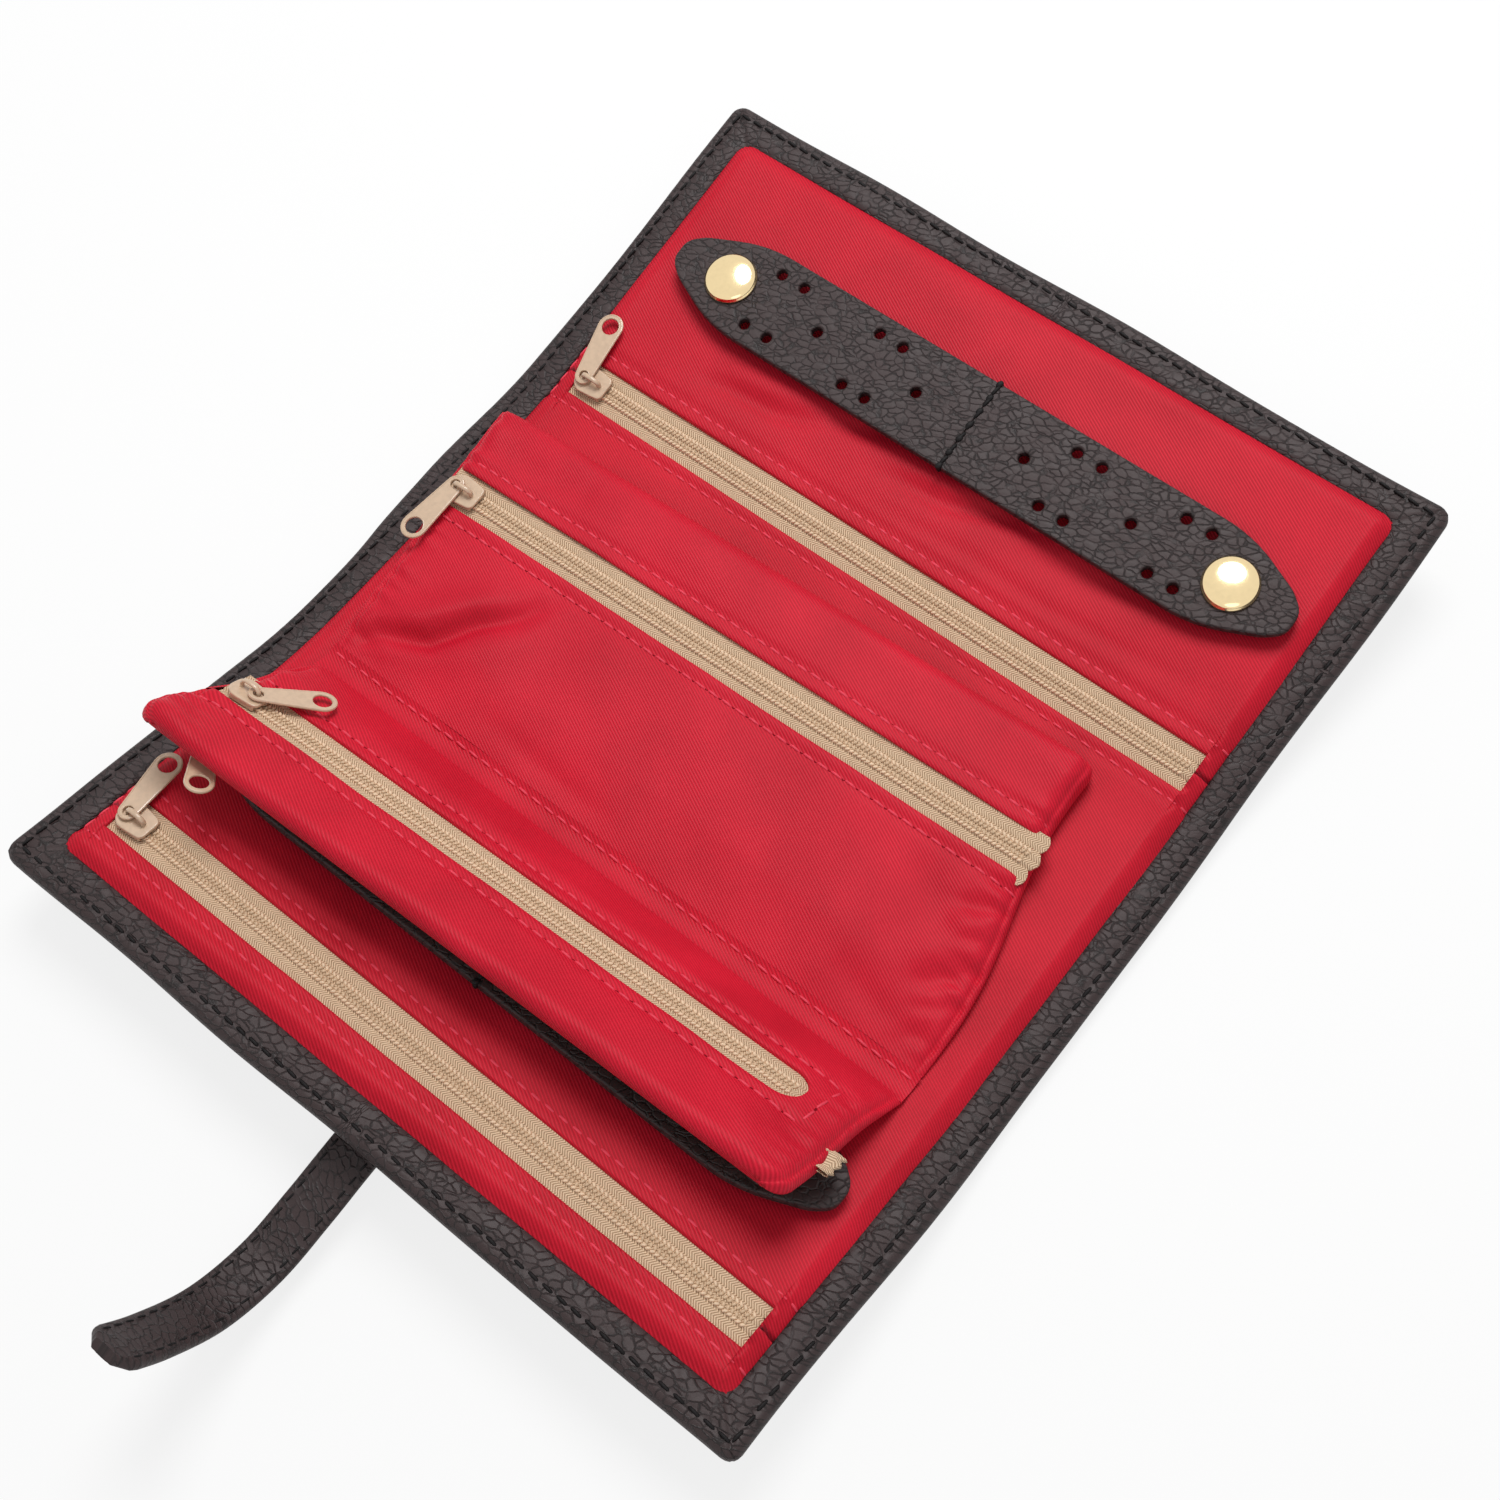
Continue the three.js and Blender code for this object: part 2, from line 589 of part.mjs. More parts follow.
// Pouches. Inside a pouch's group u = y runs from the root seam to the free edge and z = 0 is its underside
function pouchProfile(pouch, inset) {
  const round = pouch.edgeHeight / 2 - inset;
  const centre = pouch.length - pouch.edgeHeight / 2;
  const points = [
    [inset, inset],
    [centre, inset],
  ];
  for (let i = 1; i < 6; i++) {
    const angle = (i / 6) * Math.PI - Math.PI / 2;
    points.push([centre + round * Math.cos(angle), pouch.edgeHeight / 2 + round * Math.sin(angle)]);
  }
  points.push([centre, pouch.edgeHeight - inset]);
  points.push([pouch.shoulder, pouch.shoulderHeight - inset]);
  points.push([inset, POUCH_ROOT_HEIGHT - inset * 0.6]);
  return points;
}

// The sewn pouches lean to one side and spread a little towards that side
function leaned(geometry, direction) {
  const p = geometry.attributes.position;
  for (let i = 0; i < p.count; i++) {
    const x = p.getX(i);
    const u = p.getY(i);
    p.setXY(i, x - POUCH_LEAN * u, u * (1 + direction * POUCH_SPREAD * x));
  }
  return geometry;
}

const pouchFrom = POUCH_CENTRE_X - POUCH_WIDTH / 2;
const pouchTo = POUCH_CENTRE_X + POUCH_WIDTH / 2;

// The height of the top face at a distance u from the root
function pouchTopAt(pouch, u) {
  const centre = pouch.length - pouch.edgeHeight / 2;
  const t = (u - pouch.shoulder) / (centre - pouch.shoulder);
  return pouch.shoulderHeight + t * (pouch.edgeHeight - pouch.shoulderHeight);
}

function pouchShell(pouch) {
  const outer = acrossX(pouchProfile(pouch, 0), pouchFrom, pouchTo);
  const inner = acrossX(pouchProfile(pouch, POUCH_PLY), pouchFrom + POUCH_PLY, pouchTo - POUCH_PLY);
  return cut(outer, inner);
}

// The part of the pouch shell above a line that runs a set depth below the top face
function topRegion(pouch, depth, from, to) {
  const points = [
    [from, pouchTopAt(pouch, from) - depth],
    [to, pouchTopAt(pouch, to) - depth],
    [to, pouch.edgeHeight + 2],
    [from, pouch.edgeHeight + 2],
  ];
  return acrossX(points, pouchFrom - 1, pouchTo + 1);
}

function topSheet(pouch, from, to) {
  const top = (u) => pouchTopAt(pouch, u);
  return acrossX(
    [
      [from, top(from) - POUCH_PLY],
      [to, top(to) - POUCH_PLY],
      [to, top(to)],
      [from, top(from)],
    ],
    pouchFrom,
    pouchTo,
  );
}

const faceSlope = (pouch) =>
  Math.atan2(pouch.edgeHeight - pouch.shoulderHeight, pouch.length - pouch.edgeHeight / 2 - pouch.shoulder);
const tapeDepth = POUCH_PLY + SEAT_GAP + TAPE / 2;
const zipDepth = tapeDepth + COIL_DOWN + SEAT_GAP;
const zipEndInset = POUCH_PLY + SLIDER_CLEARANCE + POUCH_LEAN * SLIDER_HALF_WIDTH + 0.4;

// Large pouch: a full-width zip between the strip at the free edge and the main front
const largePouch = new THREE.Group();
largePouch.position.set(0, LARGE_POUCH.rootY, POUCH_BOTTOM);
jewelleryCase.add(largePouch);

function makeLargePouch() {
  const pouch = LARGE_POUCH;
  const u = LARGE_POUCH_ZIP.distance;
  const slot = WINDOW_HALF_WIDTH;
  const centre = pouch.length - pouch.edgeHeight / 2;
  const region = topRegion(pouch, POUCH_PLY + SEAT_GAP, pouch.shoulder, centre);
  const zipRoom = topRegion(pouch, zipDepth, u - TAPE_HALF_WIDTH - 1, u + TAPE_HALF_WIDTH + 1);
  const back = cut(pouchShell(pouch), region, zipRoom);
  const front = topSheet(pouch, pouch.shoulder + SEAT_GAP, u - slot);
  const edgeStrip = topSheet(pouch, u + slot, centre - SEAT_GAP);
  addPiece(largePouch, "large_pouch_back", leaned(back, 1), redLining);
  addPiece(largePouch, "large_pouch_front", leaned(front, 1), redLining);
  addPiece(largePouch, "large_pouch_edge_strip", leaned(edgeStrip, 1), redLining);
  const turn = Math.atan(POUCH_SPREAD * u);
  const seat = new THREE.Group();
  seat.position.set(0, u, pouchTopAt(pouch, u) - tapeDepth);
  seat.rotation.set(faceSlope(pouch), 0, turn, "XYZ");
  largePouch.add(seat);
  const from = pouchFrom - POUCH_LEAN * u + zipEndInset;
  const to = pouchTo - POUCH_LEAN * u - zipEndInset;
  const pullTurn = LARGE_POUCH_ZIP.pullTurn;
  fitZip(seat, "large_pouch_zip", { from, to, tapeFrom: from - 1, tapeTo: to + 1, pullTurn });
}

// Small pouch: it is drawn like the large one, then u is turned to run towards the outer flap's edge
const smallPouch = new THREE.Group();
smallPouch.position.set(0, OUTER_FOLD.y - SMALL_POUCH.rootDistance, POUCH_BOTTOM);
smallPouch.rotation.x = -radians(SMALL_POUCH.rise);
outerFlap.add(smallPouch);

function towardsOuterEdge(geometry) {
  const p = geometry.attributes.position;
  for (let i = 0; i < p.count; i++) p.setY(i, -p.getY(i));
  const index = geometry.index.array;
  for (let i = 0; i < index.length; i += 3) [index[i + 1], index[i + 2]] = [index[i + 2], index[i + 1]];
  return geometry;
}

function makeSmallPouch() {
  const pouch = SMALL_POUCH;
  const frontU = SMALL_POUCH_ZIP.distance;
  const backU = BACK_POUCH_ZIP.distance;
  const slot = WINDOW_HALF_WIDTH;
  const reach = TAPE_HALF_WIDTH + 2.5;
  const centre = pouch.length - pouch.edgeHeight / 2;
  const place = (geometry) => towardsOuterEdge(leaned(geometry, -1));
  const shell = cut(
    pouchShell(pouch),
    topRegion(pouch, POUCH_PLY + SEAT_GAP, pouch.shoulder, centre),
    topRegion(pouch, zipDepth, frontU - reach, frontU + reach),
    block(pouchFrom - 1, pouchTo + 1, backU - slot, backU + slot, -1, POUCH_PLY + 0.1),
    block(pouchFrom - 1, pouchTo + 1, backU - reach, centre, POUCH_PLY, zipDepth),
  );
  addPiece(smallPouch, "small_pouch_back", place(shell), redLining);

  const turn = radians(SMALL_POUCH_ZIP.turn);
  const windowFrom = pouchFrom - POUCH_LEAN * frontU - 5;
  const windowEnd = SMALL_POUCH_ZIP.to - slot;
  const shape = new THREE.Shape();
  shape.moveTo(windowFrom, -slot).lineTo(windowEnd, -slot);
  shape.absarc(windowEnd, 0, slot, -Math.PI / 2, Math.PI / 2);
  shape.lineTo(windowFrom, slot).closePath();
  const window = prism(shape, -1, pouch.edgeHeight + 1, 8).rotateZ(turn).translate(0, -frontU, 0);
  const sheet = place(mergeVertices(topSheet(pouch, pouch.shoulder + SEAT_GAP, centre - SEAT_GAP)));
  addPiece(smallPouch, "small_pouch_front", cut(sheet, window), redLining);

  const frontSeat = new THREE.Group();
  frontSeat.position.set(0, -frontU, pouchTopAt(pouch, frontU) - tapeDepth);
  frontSeat.rotation.set(-faceSlope(pouch), 0, turn, "XYZ");
  smallPouch.add(frontSeat);
  const frontFrom = pouchFrom - POUCH_LEAN * frontU + zipEndInset;
  fitZip(frontSeat, "small_pouch_zip", {
    from: frontFrom,
    to: SMALL_POUCH_ZIP.to,
    tapeFrom: frontFrom - 1,
    tapeTo: SMALL_POUCH_ZIP.to + 8,
    pullTurn: SMALL_POUCH_ZIP.pullTurn,
    post: 1,
  });

  const backSeat = new THREE.Group();
  backSeat.position.set(0, -backU, tapeDepth);
  backSeat.rotation.set(Math.PI, 0, Math.atan(-POUCH_SPREAD * backU), "XYZ");
  smallPouch.add(backSeat);
  const backFrom = pouchFrom - POUCH_LEAN * backU + zipEndInset;
  fitZip(backSeat, "back_pouch_zip", {
    from: backFrom,
    to: pouchTo - POUCH_LEAN * backU - zipEndInset,
    tapeFrom: backFrom,
    tapeTo: pouchTo - POUCH_LEAN * backU - zipEndInset,
    pullTurn: BACK_POUCH_ZIP.pullTurn,
    post: 1,
  });
}

makeLargePouch();
makeSmallPouch();

// Closing strap: the sewn root on the back of the outer flap, the long link and the curled end
function ribbon(points, halfThickness) {
  const left = [];
  const right = [];
  points.forEach(([y, z], i) => {
    const [ya, za] = points[Math.max(i - 1, 0)];
    const [yb, zb] = points[Math.min(i + 1, points.length - 1)];
    const length = Math.hypot(yb - ya, zb - za);
    const ny = (-(zb - za) / length) * halfThickness;
    const nz = ((yb - ya) / length) * halfThickness;
    left.push([y + ny, z + nz]);
    right.unshift([y - ny, z - nz]);
  });
  return acrossX([...left, ...right], -CLOSING_WIDTH / 2, CLOSING_WIDTH / 2);
}

function shorten([a, b], distance) {
  const length = Math.hypot(b[0] - a[0], b[1] - a[1]);
  return [a[0] + ((b[0] - a[0]) * distance) / length, a[1] + ((b[1] - a[1]) * distance) / length];
}

function makeClosingStrap() {
  const route = CLOSING_ROUTE;
  const bend = route[CLOSING_BEND];
  const thick = CLOSING_THICKNESS / 2;
  const rootZ = -SEAT_GAP;
  const rootEnd = OUTER_FOLD.y - CLOSING_ROOT_TO;
  addPiece(
    outerFlap,
    "closing_strap_root",
    block(
      -CLOSING_WIDTH / 2,
      CLOSING_WIDTH / 2,
      rootEnd,
      OUTER_FOLD.y - CLOSING_ROOT_FROM,
      rootZ - CLOSING_THICKNESS,
      rootZ,
    ),
    leather,
  );
  const first = route.slice(0, CLOSING_BEND + 1);
  first[CLOSING_BEND] = shorten([bend, route[CLOSING_BEND - 1]], CLOSING_BEND_GAP);
  addPiece(jewelleryCase, "closing_strap", ribbon(first, thick), leather);

  const last = route.slice(CLOSING_BEND);
  last[0] = shorten([bend, route[CLOSING_BEND + 1]], CLOSING_BEND_GAP);
  const tip = route[route.length - 1];
  const before = route[route.length - 2];
  const lean = Math.atan2(tip[1] - before[1], tip[0] - before[0]);
  const onTip = (geometry, back) => {
    const [y, z] = shorten([tip, before], back);
    return geometry.rotateX(lean - Math.PI / 2).translate(0, y, z);
  };
  const corner = (side) => {
    const shape = new THREE.Shape();
    const x = (side * CLOSING_WIDTH) / 2;
    shape.moveTo(x - side * CLOSING_TIP_CHAMFER, 0).lineTo(x, -CLOSING_TIP_CHAMFER);
    shape.lineTo(x + side * 2, -CLOSING_TIP_CHAMFER).lineTo(x + side * 2, 1);
    shape.lineTo(x - side * CLOSING_TIP_CHAMFER, 1).closePath();
    return prism(shape, -3, 3).rotateX(Math.PI / 2);
  };
  const recess = disc(MAGNET_RADIUS + SEAT_GAP, -MAGNET_THICKNESS, 3).rotateX(Math.PI / 2);
  const end = cut(
    ribbon(last, thick),
    onTip(corner(1), 0),
    onTip(corner(-1), 0),
    onTip(recess, MAGNET_FROM_TIP),
  );
  addPiece(jewelleryCase, "closing_strap_end", end, leather);
  const magnet = disc(MAGNET_RADIUS, SEAT_GAP - MAGNET_THICKNESS, thick - 0.1).rotateX(Math.PI / 2);
  addPiece(jewelleryCase, "closing_magnet", onTip(magnet, MAGNET_FROM_TIP), steel);
}
makeClosingStrap();

// Cover
function spine(fold, panelEnd) {
  const near = panelEnd + fold.side * SEAT_GAP;
  const far = fold.y + fold.side * (FOLD_GAP / 2 - SEAT_GAP);
  const profile = [[near, 0], openPoint(fold, far, 0), openPoint(fold, far, LEATHER), [near, LEATHER]];
  return acrossX(profile, -half, half);
}
addPiece(jewelleryCase, "inner_fold_leather", spine(INNER_FOLD, PANELS.base.y1), leather);
addPiece(jewelleryCase, "outer_fold_leather", spine(OUTER_FOLD, PANELS.base.y0), leather);
for (const [name, panel] of Object.entries(PANELS)) {
  addPiece(panel.group, `${name}_leather`, coverLeather(panel), leather);
}
addPiece(jewelleryCase, "base_foam", cut(
  block(
    -half + plateauInset + LINING + SEAT_GAP,
    half - plateauInset - LINING - SEAT_GAP,
    PANELS.base.y0,
    PANELS.base.y1,
    boardBottom,
    LINING_TOP - LINING - SEAT_GAP,
  ),
  disc(PLATE_RADIUS + SEAT_GAP, 0, boardBottom + PLATE_THICKNESS + SEAT_GAP).translate(0, PLATE_Y, 0),
), foam);
addPiece(
  jewelleryCase,
  "closing_plate",
  disc(PLATE_RADIUS, boardBottom, boardBottom + PLATE_THICKNESS).translate(0, PLATE_Y, 0),
  steel,
);
addPiece(jewelleryCase, "base_lining", panelLining(PANELS.base, []), redLining);

function fitFlap(name, fold, zip, pocketDepth, strapName, strap) {
  const panel = PANELS[name];
  const zipY = fold.y + fold.side * zip.distance;
  addPiece(panel.group, `${name}_board`, stiffener(panel), greyBoard);
  addPiece(panel.group, `${name}_pocket`, pocketTray(fold, pocketDepth), pocketCloth);
  addPiece(panel.group, `${name}_lining`, panelLining(panel, [windowCut(zip, zipY)]), redLining);
  const seat = new THREE.Group();
  seat.position.set(0, zipY, FLAP_ZIP_TAPE_Z);
  panel.group.add(seat);
  fitZip(seat, `${name}_zip`, zip);
  fitStrap(panel.group, strapName, strap.x, fold.y + fold.side * strap.distance);
}
fitFlap("inner_flap", INNER_FOLD, INNER_FLAP_ZIP, INNER_POCKET_DEPTH, "inner_strap", INNER_STRAP);
fitFlap("outer_flap", OUTER_FOLD, OUTER_FLAP_ZIP, OUTER_POCKET_DEPTH, "outer_strap", OUTER_STRAP);

export default jewelleryCase;
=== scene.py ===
# Looks of the folding jewellery case: pebbled leather cover, red twill lining and pouches, beige zips and
# brass snap caps. Lengths are in millimetres until a mesh is made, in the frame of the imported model.
import json
import math

import bpy
import numpy as np
from mathutils import Matrix, Vector


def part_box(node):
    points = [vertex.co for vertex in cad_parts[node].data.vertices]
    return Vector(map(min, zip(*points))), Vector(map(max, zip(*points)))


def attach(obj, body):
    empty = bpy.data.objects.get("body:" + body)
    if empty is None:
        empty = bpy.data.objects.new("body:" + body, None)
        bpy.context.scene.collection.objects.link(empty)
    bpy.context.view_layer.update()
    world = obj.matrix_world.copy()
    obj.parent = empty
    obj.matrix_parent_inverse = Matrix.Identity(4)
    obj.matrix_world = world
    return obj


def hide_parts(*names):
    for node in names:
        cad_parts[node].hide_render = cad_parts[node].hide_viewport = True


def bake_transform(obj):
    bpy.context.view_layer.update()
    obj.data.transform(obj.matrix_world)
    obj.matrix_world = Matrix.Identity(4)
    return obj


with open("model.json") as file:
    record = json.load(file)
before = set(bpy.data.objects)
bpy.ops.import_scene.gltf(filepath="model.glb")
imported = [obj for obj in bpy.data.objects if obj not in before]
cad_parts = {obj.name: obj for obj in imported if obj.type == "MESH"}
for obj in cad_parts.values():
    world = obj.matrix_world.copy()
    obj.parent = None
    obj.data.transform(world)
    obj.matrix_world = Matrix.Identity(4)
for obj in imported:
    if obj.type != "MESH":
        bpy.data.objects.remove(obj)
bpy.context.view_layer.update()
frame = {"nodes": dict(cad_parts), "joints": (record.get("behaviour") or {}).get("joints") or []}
MM = 0.001
joints = {joint["name"]: joint for joint in frame["joints"]}

# Camera of the photograph: 1500 pixels wide, place in millimetres above the base panel's middle
FOCAL_PIXELS = 2010
IMAGE_PIXELS = 1500
SENSOR_WIDTH = 36
EYE = (136.7, -129.2, 385.5)
AZIMUTH, ELEVATION, ROLL = (math.radians(a) for a in (46.51, 64.78, -8.63))


def add_object(name, data):
    made = bpy.data.objects.new(name, data)
    bpy.context.scene.collection.objects.link(made)
    return made


def make_camera():
    level = math.cos(ELEVATION)
    forward = Vector((-math.sin(AZIMUTH) * level, math.cos(AZIMUTH) * level, -math.sin(ELEVATION)))
    right = forward.cross(Vector((0, 0, 1))).normalized()
    up = right.cross(forward)
    rolled_right = math.cos(ROLL) * right + math.sin(ROLL) * up
    rolled_up = -math.sin(ROLL) * right + math.cos(ROLL) * up
    data = bpy.data.cameras.new("camera")
    data.sensor_width = SENSOR_WIDTH
    data.lens = FOCAL_PIXELS / IMAGE_PIXELS * SENSOR_WIDTH
    camera = add_object("camera", data)
    turn = Matrix((rolled_right, rolled_up, -forward)).transposed()
    camera.matrix_world = Matrix.Translation(Vector(EYE) * MM) @ turn.to_4x4()
    bpy.context.scene.camera = camera


make_camera()


# Node materials. A colour is red, green and blue from 0 to 255
def linear(colour):
    values = [value / 255 for value in colour]
    return (*(v / 12.92 if v <= 0.04045 else ((v + 0.055) / 1.055) ** 2.4 for v in values), 1)


class Graph:
    """The nodes of a material or of the world."""

    def __init__(self, tree):
        self.nodes, self.links = tree.nodes, tree.links

    def put(self, socket, value):
        if isinstance(value, bpy.types.NodeSocket):
            self.links.new(value, socket)
        else:
            socket.default_value = value

    def fill(self, sockets, values):
        for key, value in values.items():
            self.put(sockets[key.replace("_", " ")], value)

    def node(self, kind, settings=None, **inputs):
        made = self.nodes.new("ShaderNode" + kind)
        for key, value in (settings or {}).items():
            setattr(made, key, value)
        self.fill(made.inputs, inputs)
        return made

    def math(self, operation, a, b=0.0, clamp=False):
        made = self.node("Math", {"operation": operation, "use_clamp": clamp})
        self.put(made.inputs[0], a)
        self.put(made.inputs[1], b)
        return made.outputs[0]

    def plus(self, a, b, clamp=False):
        return self.math("ADD", a, b, clamp)

    def minus(self, a, b):
        return self.math("SUBTRACT", a, b)

    def times(self, a, b, clamp=False):
        return self.math("MULTIPLY", a, b, clamp)

    def seen(self):
        """1 for rays from the camera, a mirror or glass, and 0 for those that only light."""
        path = self.node("LightPath")
        straight = self.plus(path.outputs["Is Camera Ray"], path.outputs["Is Glossy Ray"])
        return self.plus(straight, path.outputs["Is Transmission Ray"], clamp=True)

    def show_mixed(self, output, share, first, second):
        mixed = self.node("MixShader")
        for socket, value in zip(mixed.inputs, (share, first.outputs[0], second.outputs[0])):
            self.put(socket, value)
        self.put(self.nodes[output].inputs["Surface"], mixed.outputs[0])


class Shader(Graph):
    def __init__(self, name, roughness, metallic=0.0, specular=0.5):
        self.material = bpy.data.materials.new(name)
        self.material.use_nodes = True
        super().__init__(self.material.node_tree)
        self.surface = self.nodes["Principled BSDF"]
        self.set(Roughness=roughness, Metallic=metallic, Specular_IOR_Level=specular)

    def set(self, **values):
        self.fill(self.surface.inputs, values)

    def coordinates(self, kind="UV"):
        return self.node("TexCoord").outputs[kind]

    def scaled(self, coordinates, scale, turn=0.0):
        return self.node("Mapping", Vector=coordinates, Scale=scale, Rotation=(0, 0, turn)).outputs["Vector"]

    def noise(self, place, scale, detail, output="Fac"):
        return self.node("TexNoise", Vector=place, Scale=scale, Detail=detail).outputs[output]

    def cells(self, feature, place, scale):
        return self.node("TexVoronoi", {"feature": feature}, Vector=place, Scale=scale).outputs["Distance"]

    def blend(self, kind, share, first, second):
        made = self.node("MixRGB", {"blend_type": kind}, Fac=share, Color1=first, Color2=second)
        return made.outputs[0]

    def weighted(self, a, share_a, b, share_b):
        return self.plus(self.times(a, share_a), self.times(b, share_b))

    def wave(self, phase):
        """The sine of a phase, as a value from 0 to 1."""
        return self.plus(self.times(self.math("SINE", phase), 0.5), 0.5)

    def ramp(self, value, *stops):
        made = self.node("ValToRGB", Fac=value)
        for element, (place, colour) in zip(made.color_ramp.elements, stops):
            element.position, element.color = place, colour
        return made.outputs["Color"]

    def bump(self, height, distance, strength):
        return self.node("Bump", Height=height, Distance=distance, Strength=strength).outputs["Normal"]


PEBBLES = 660.0


def leather_material():
    s = Shader("leather", 0.5, specular=0.3)
    place = shifted = s.coordinates()
    for share, scale, detail in ((0.0013, 420.0, 3.0), (0.004, 60.0, 2.0)):
        shifted = s.blend("ADD", share, shifted, s.noise(place, scale, detail, "Color"))
    turned = s.scaled(shifted, (1.0, 1.0, 1.0), math.radians(-20))
    stretched = s.scaled(turned, (0.6, 1.0, 1.0))
    broad = s.noise(place, 150.0, 4.0)
    shown = s.times(s.minus(s.noise(place, 330.0, 1.0), 0.16), 2.6, clamp=True)
    crack = s.minus(1.0, s.times(s.cells("DISTANCE_TO_EDGE", stretched, PEBBLES), 8.0, clamp=True))
    crack = s.times(crack, shown)
    fine = s.minus(1.0, s.times(s.cells("DISTANCE_TO_EDGE", shifted, 1250.0), 6.0, clamp=True))
    fine = s.times(fine, s.times(s.minus(broad, 0.4), 4.0, clamp=True))
    depth = s.plus(crack, s.times(fine, 0.12))
    height = s.minus(s.times(s.cells("SMOOTH_F1", stretched, PEBBLES), -0.6), depth)
    # Painted shade: the colour darkens along the cracks between pebbles, where shadow falls in the creases
    colour = s.ramp(depth, (0.0, linear((54, 42, 42))), (0.9, linear((25, 18, 18))))
    tone = s.ramp(broad, (0.3, (0.85, 0.85, 0.85, 1)), (0.75, (1.12, 1.1, 1.1, 1)))
    s.set(
        Base_Color=s.blend("MULTIPLY", 1.0, colour, tone),
        Roughness=s.plus(s.times(broad, 0.2), 0.42),
        Normal=s.bump(height, 0.00024, 0.6),
    )
    return s.material


TWILL_HEADING, TWILL_PITCH = -28, 0.00062


def twill_material(name, lit, shade):
    s = Shader(name, 0.5, specular=0.16)
    place = s.coordinates()
    parts = s.node("SeparateXYZ", Vector=place).outputs
    turn = math.radians(TWILL_HEADING + 90)
    per_metre = math.tau / TWILL_PITCH
    rib = s.wave(s.weighted(parts["X"], math.cos(turn) * per_metre, parts["Y"], math.sin(turn) * per_metre))
    weave = s.weighted(rib, 0.7, s.noise(s.scaled(place, (1, 0.25, 1)), 2600.0, 1.0), 0.3)
    mixed = s.weighted(weave, 0.5, s.noise(place, 45.0, 3.0), 0.5)
    s.set(
        Base_Color=s.ramp(mixed, (0.2, linear(shade)), (0.75, linear(lit))),
        Sheen_Weight=0.06,
        Sheen_Roughness=0.3,
        Sheen_Tint=(1.0, 0.25, 0.35, 1),
        Normal=s.bump(weave, 0.00012, 0.6),
    )
    return s.material


def tape_material():
    s = Shader("zip_tape", 0.75, specular=0.25)
    place = s.coordinates()
    parts = s.node("SeparateXYZ", Vector=place).outputs
    skewed = s.plus(parts["X"], s.times(s.math("PINGPONG", parts["Y"], 0.0011), 0.8))
    rib = s.wave(s.times(skewed, math.tau / 0.00058))
    mixed = s.weighted(rib, 0.75, s.noise(place, 300.0, 2.0), 0.25)
    s.set(
        Base_Color=s.ramp(mixed, (0.15, linear((162, 131, 101))), (0.65, linear((234, 204, 172)))),
        Normal=s.bump(rib, 0.00018, 0.8),
    )
    return s.material


def plain_material(name, colour, roughness, metallic=0.0, grain=0.0, specular=0.5, coat=0.0, cloud=0.86):
    s = Shader(name, roughness, metallic, specular)
    noise = s.noise(s.coordinates("Object"), 900.0, 3.0)
    *lit, alpha = linear(colour)
    darker = (*(value * cloud for value in lit), alpha)
    base = s.ramp(noise, (0.25, darker), (0.65, (*lit, alpha)))
    s.set(Base_Color=base, Coat_Weight=coat, Coat_Roughness=0.15)
    if grain:
        s.set(Normal=s.bump(noise, grain, 0.5))
    return s.material


LEATHER = leather_material()
LINING = twill_material("red_lining", (215, 29, 52), (160, 12, 30))
POUCH = twill_material("pouch_lining", (219, 31, 55), (163, 12, 32))
TAPE = tape_material()
TEETH = plain_material("zip_teeth", (210, 179, 146), 0.5, grain=0.00005)
CORD = plain_material("zip_cord", (234, 204, 172), 0.6, grain=0.00005)
PAINT = plain_material("painted_zinc", (206, 178, 150), 0.32, grain=0.00002, coat=0.3)
BRASS = plain_material("pale_brass", (240, 216, 168), 0.12, metallic=1.0, cloud=0.95)
STEEL = plain_material("steel", (170, 170, 168), 0.35, metallic=1.0)
RED_THREAD = plain_material("red_thread", (226, 54, 78), 0.6, grain=0.00004)
# Painted shade: dark red for the inside of the needle holes, where shadow falls
NEEDLE_HOLE_SHADE = plain_material("shaded_needle_hole", (132, 12, 28), 0.8, grain=0.00004, specular=0.1)
BLACK_THREAD = plain_material("black_thread", (14, 11, 12), 0.6, grain=0.00004, specular=0.2)
POCKET = plain_material("pocket_cloth", (140, 22, 36), 0.8, grain=0.0001)
BOARD = plain_material("grey_board", (150, 142, 130), 0.9, grain=0.0001)
FOAM = plain_material("foam", (215, 210, 200), 0.9, grain=0.0002)


# Meshes
def quads(rows, columns, closed=False):
    """The faces of a grid whose points come row by row."""
    faces = []
    for row in range(rows - 1):
        for column in range(columns if closed else columns - 1):
            first, second = row * columns + column, row * columns + (column + 1) % columns
            faces.append((first, second, second + columns, first + columns))
    return faces


def around(count):
    """Angles evenly round a circle."""
    return [math.tau * k / count for k in range(count)]


def stack(*parts):
    """Places from their coordinates, each an array or a number."""
    return np.stack(np.broadcast_arrays(*parts), axis=-1)


def smooth_mesh(name, points, faces, materials, slots):
    """A mesh of points in metres and of faces with a material each."""
    mesh = bpy.data.meshes.new(name)
    mesh.from_pydata(points, [], faces)
    for material in materials:
        mesh.materials.append(material)
    mesh.polygons.foreach_set("material_index", slots)
    mesh.polygons.foreach_set("use_smooth", [True] * len(faces))
    return mesh


def evaluated_mesh(made):
    bpy.context.view_layer.update()
    return bpy.data.meshes.new_from_object(made.evaluated_get(bpy.context.evaluated_depsgraph_get()))


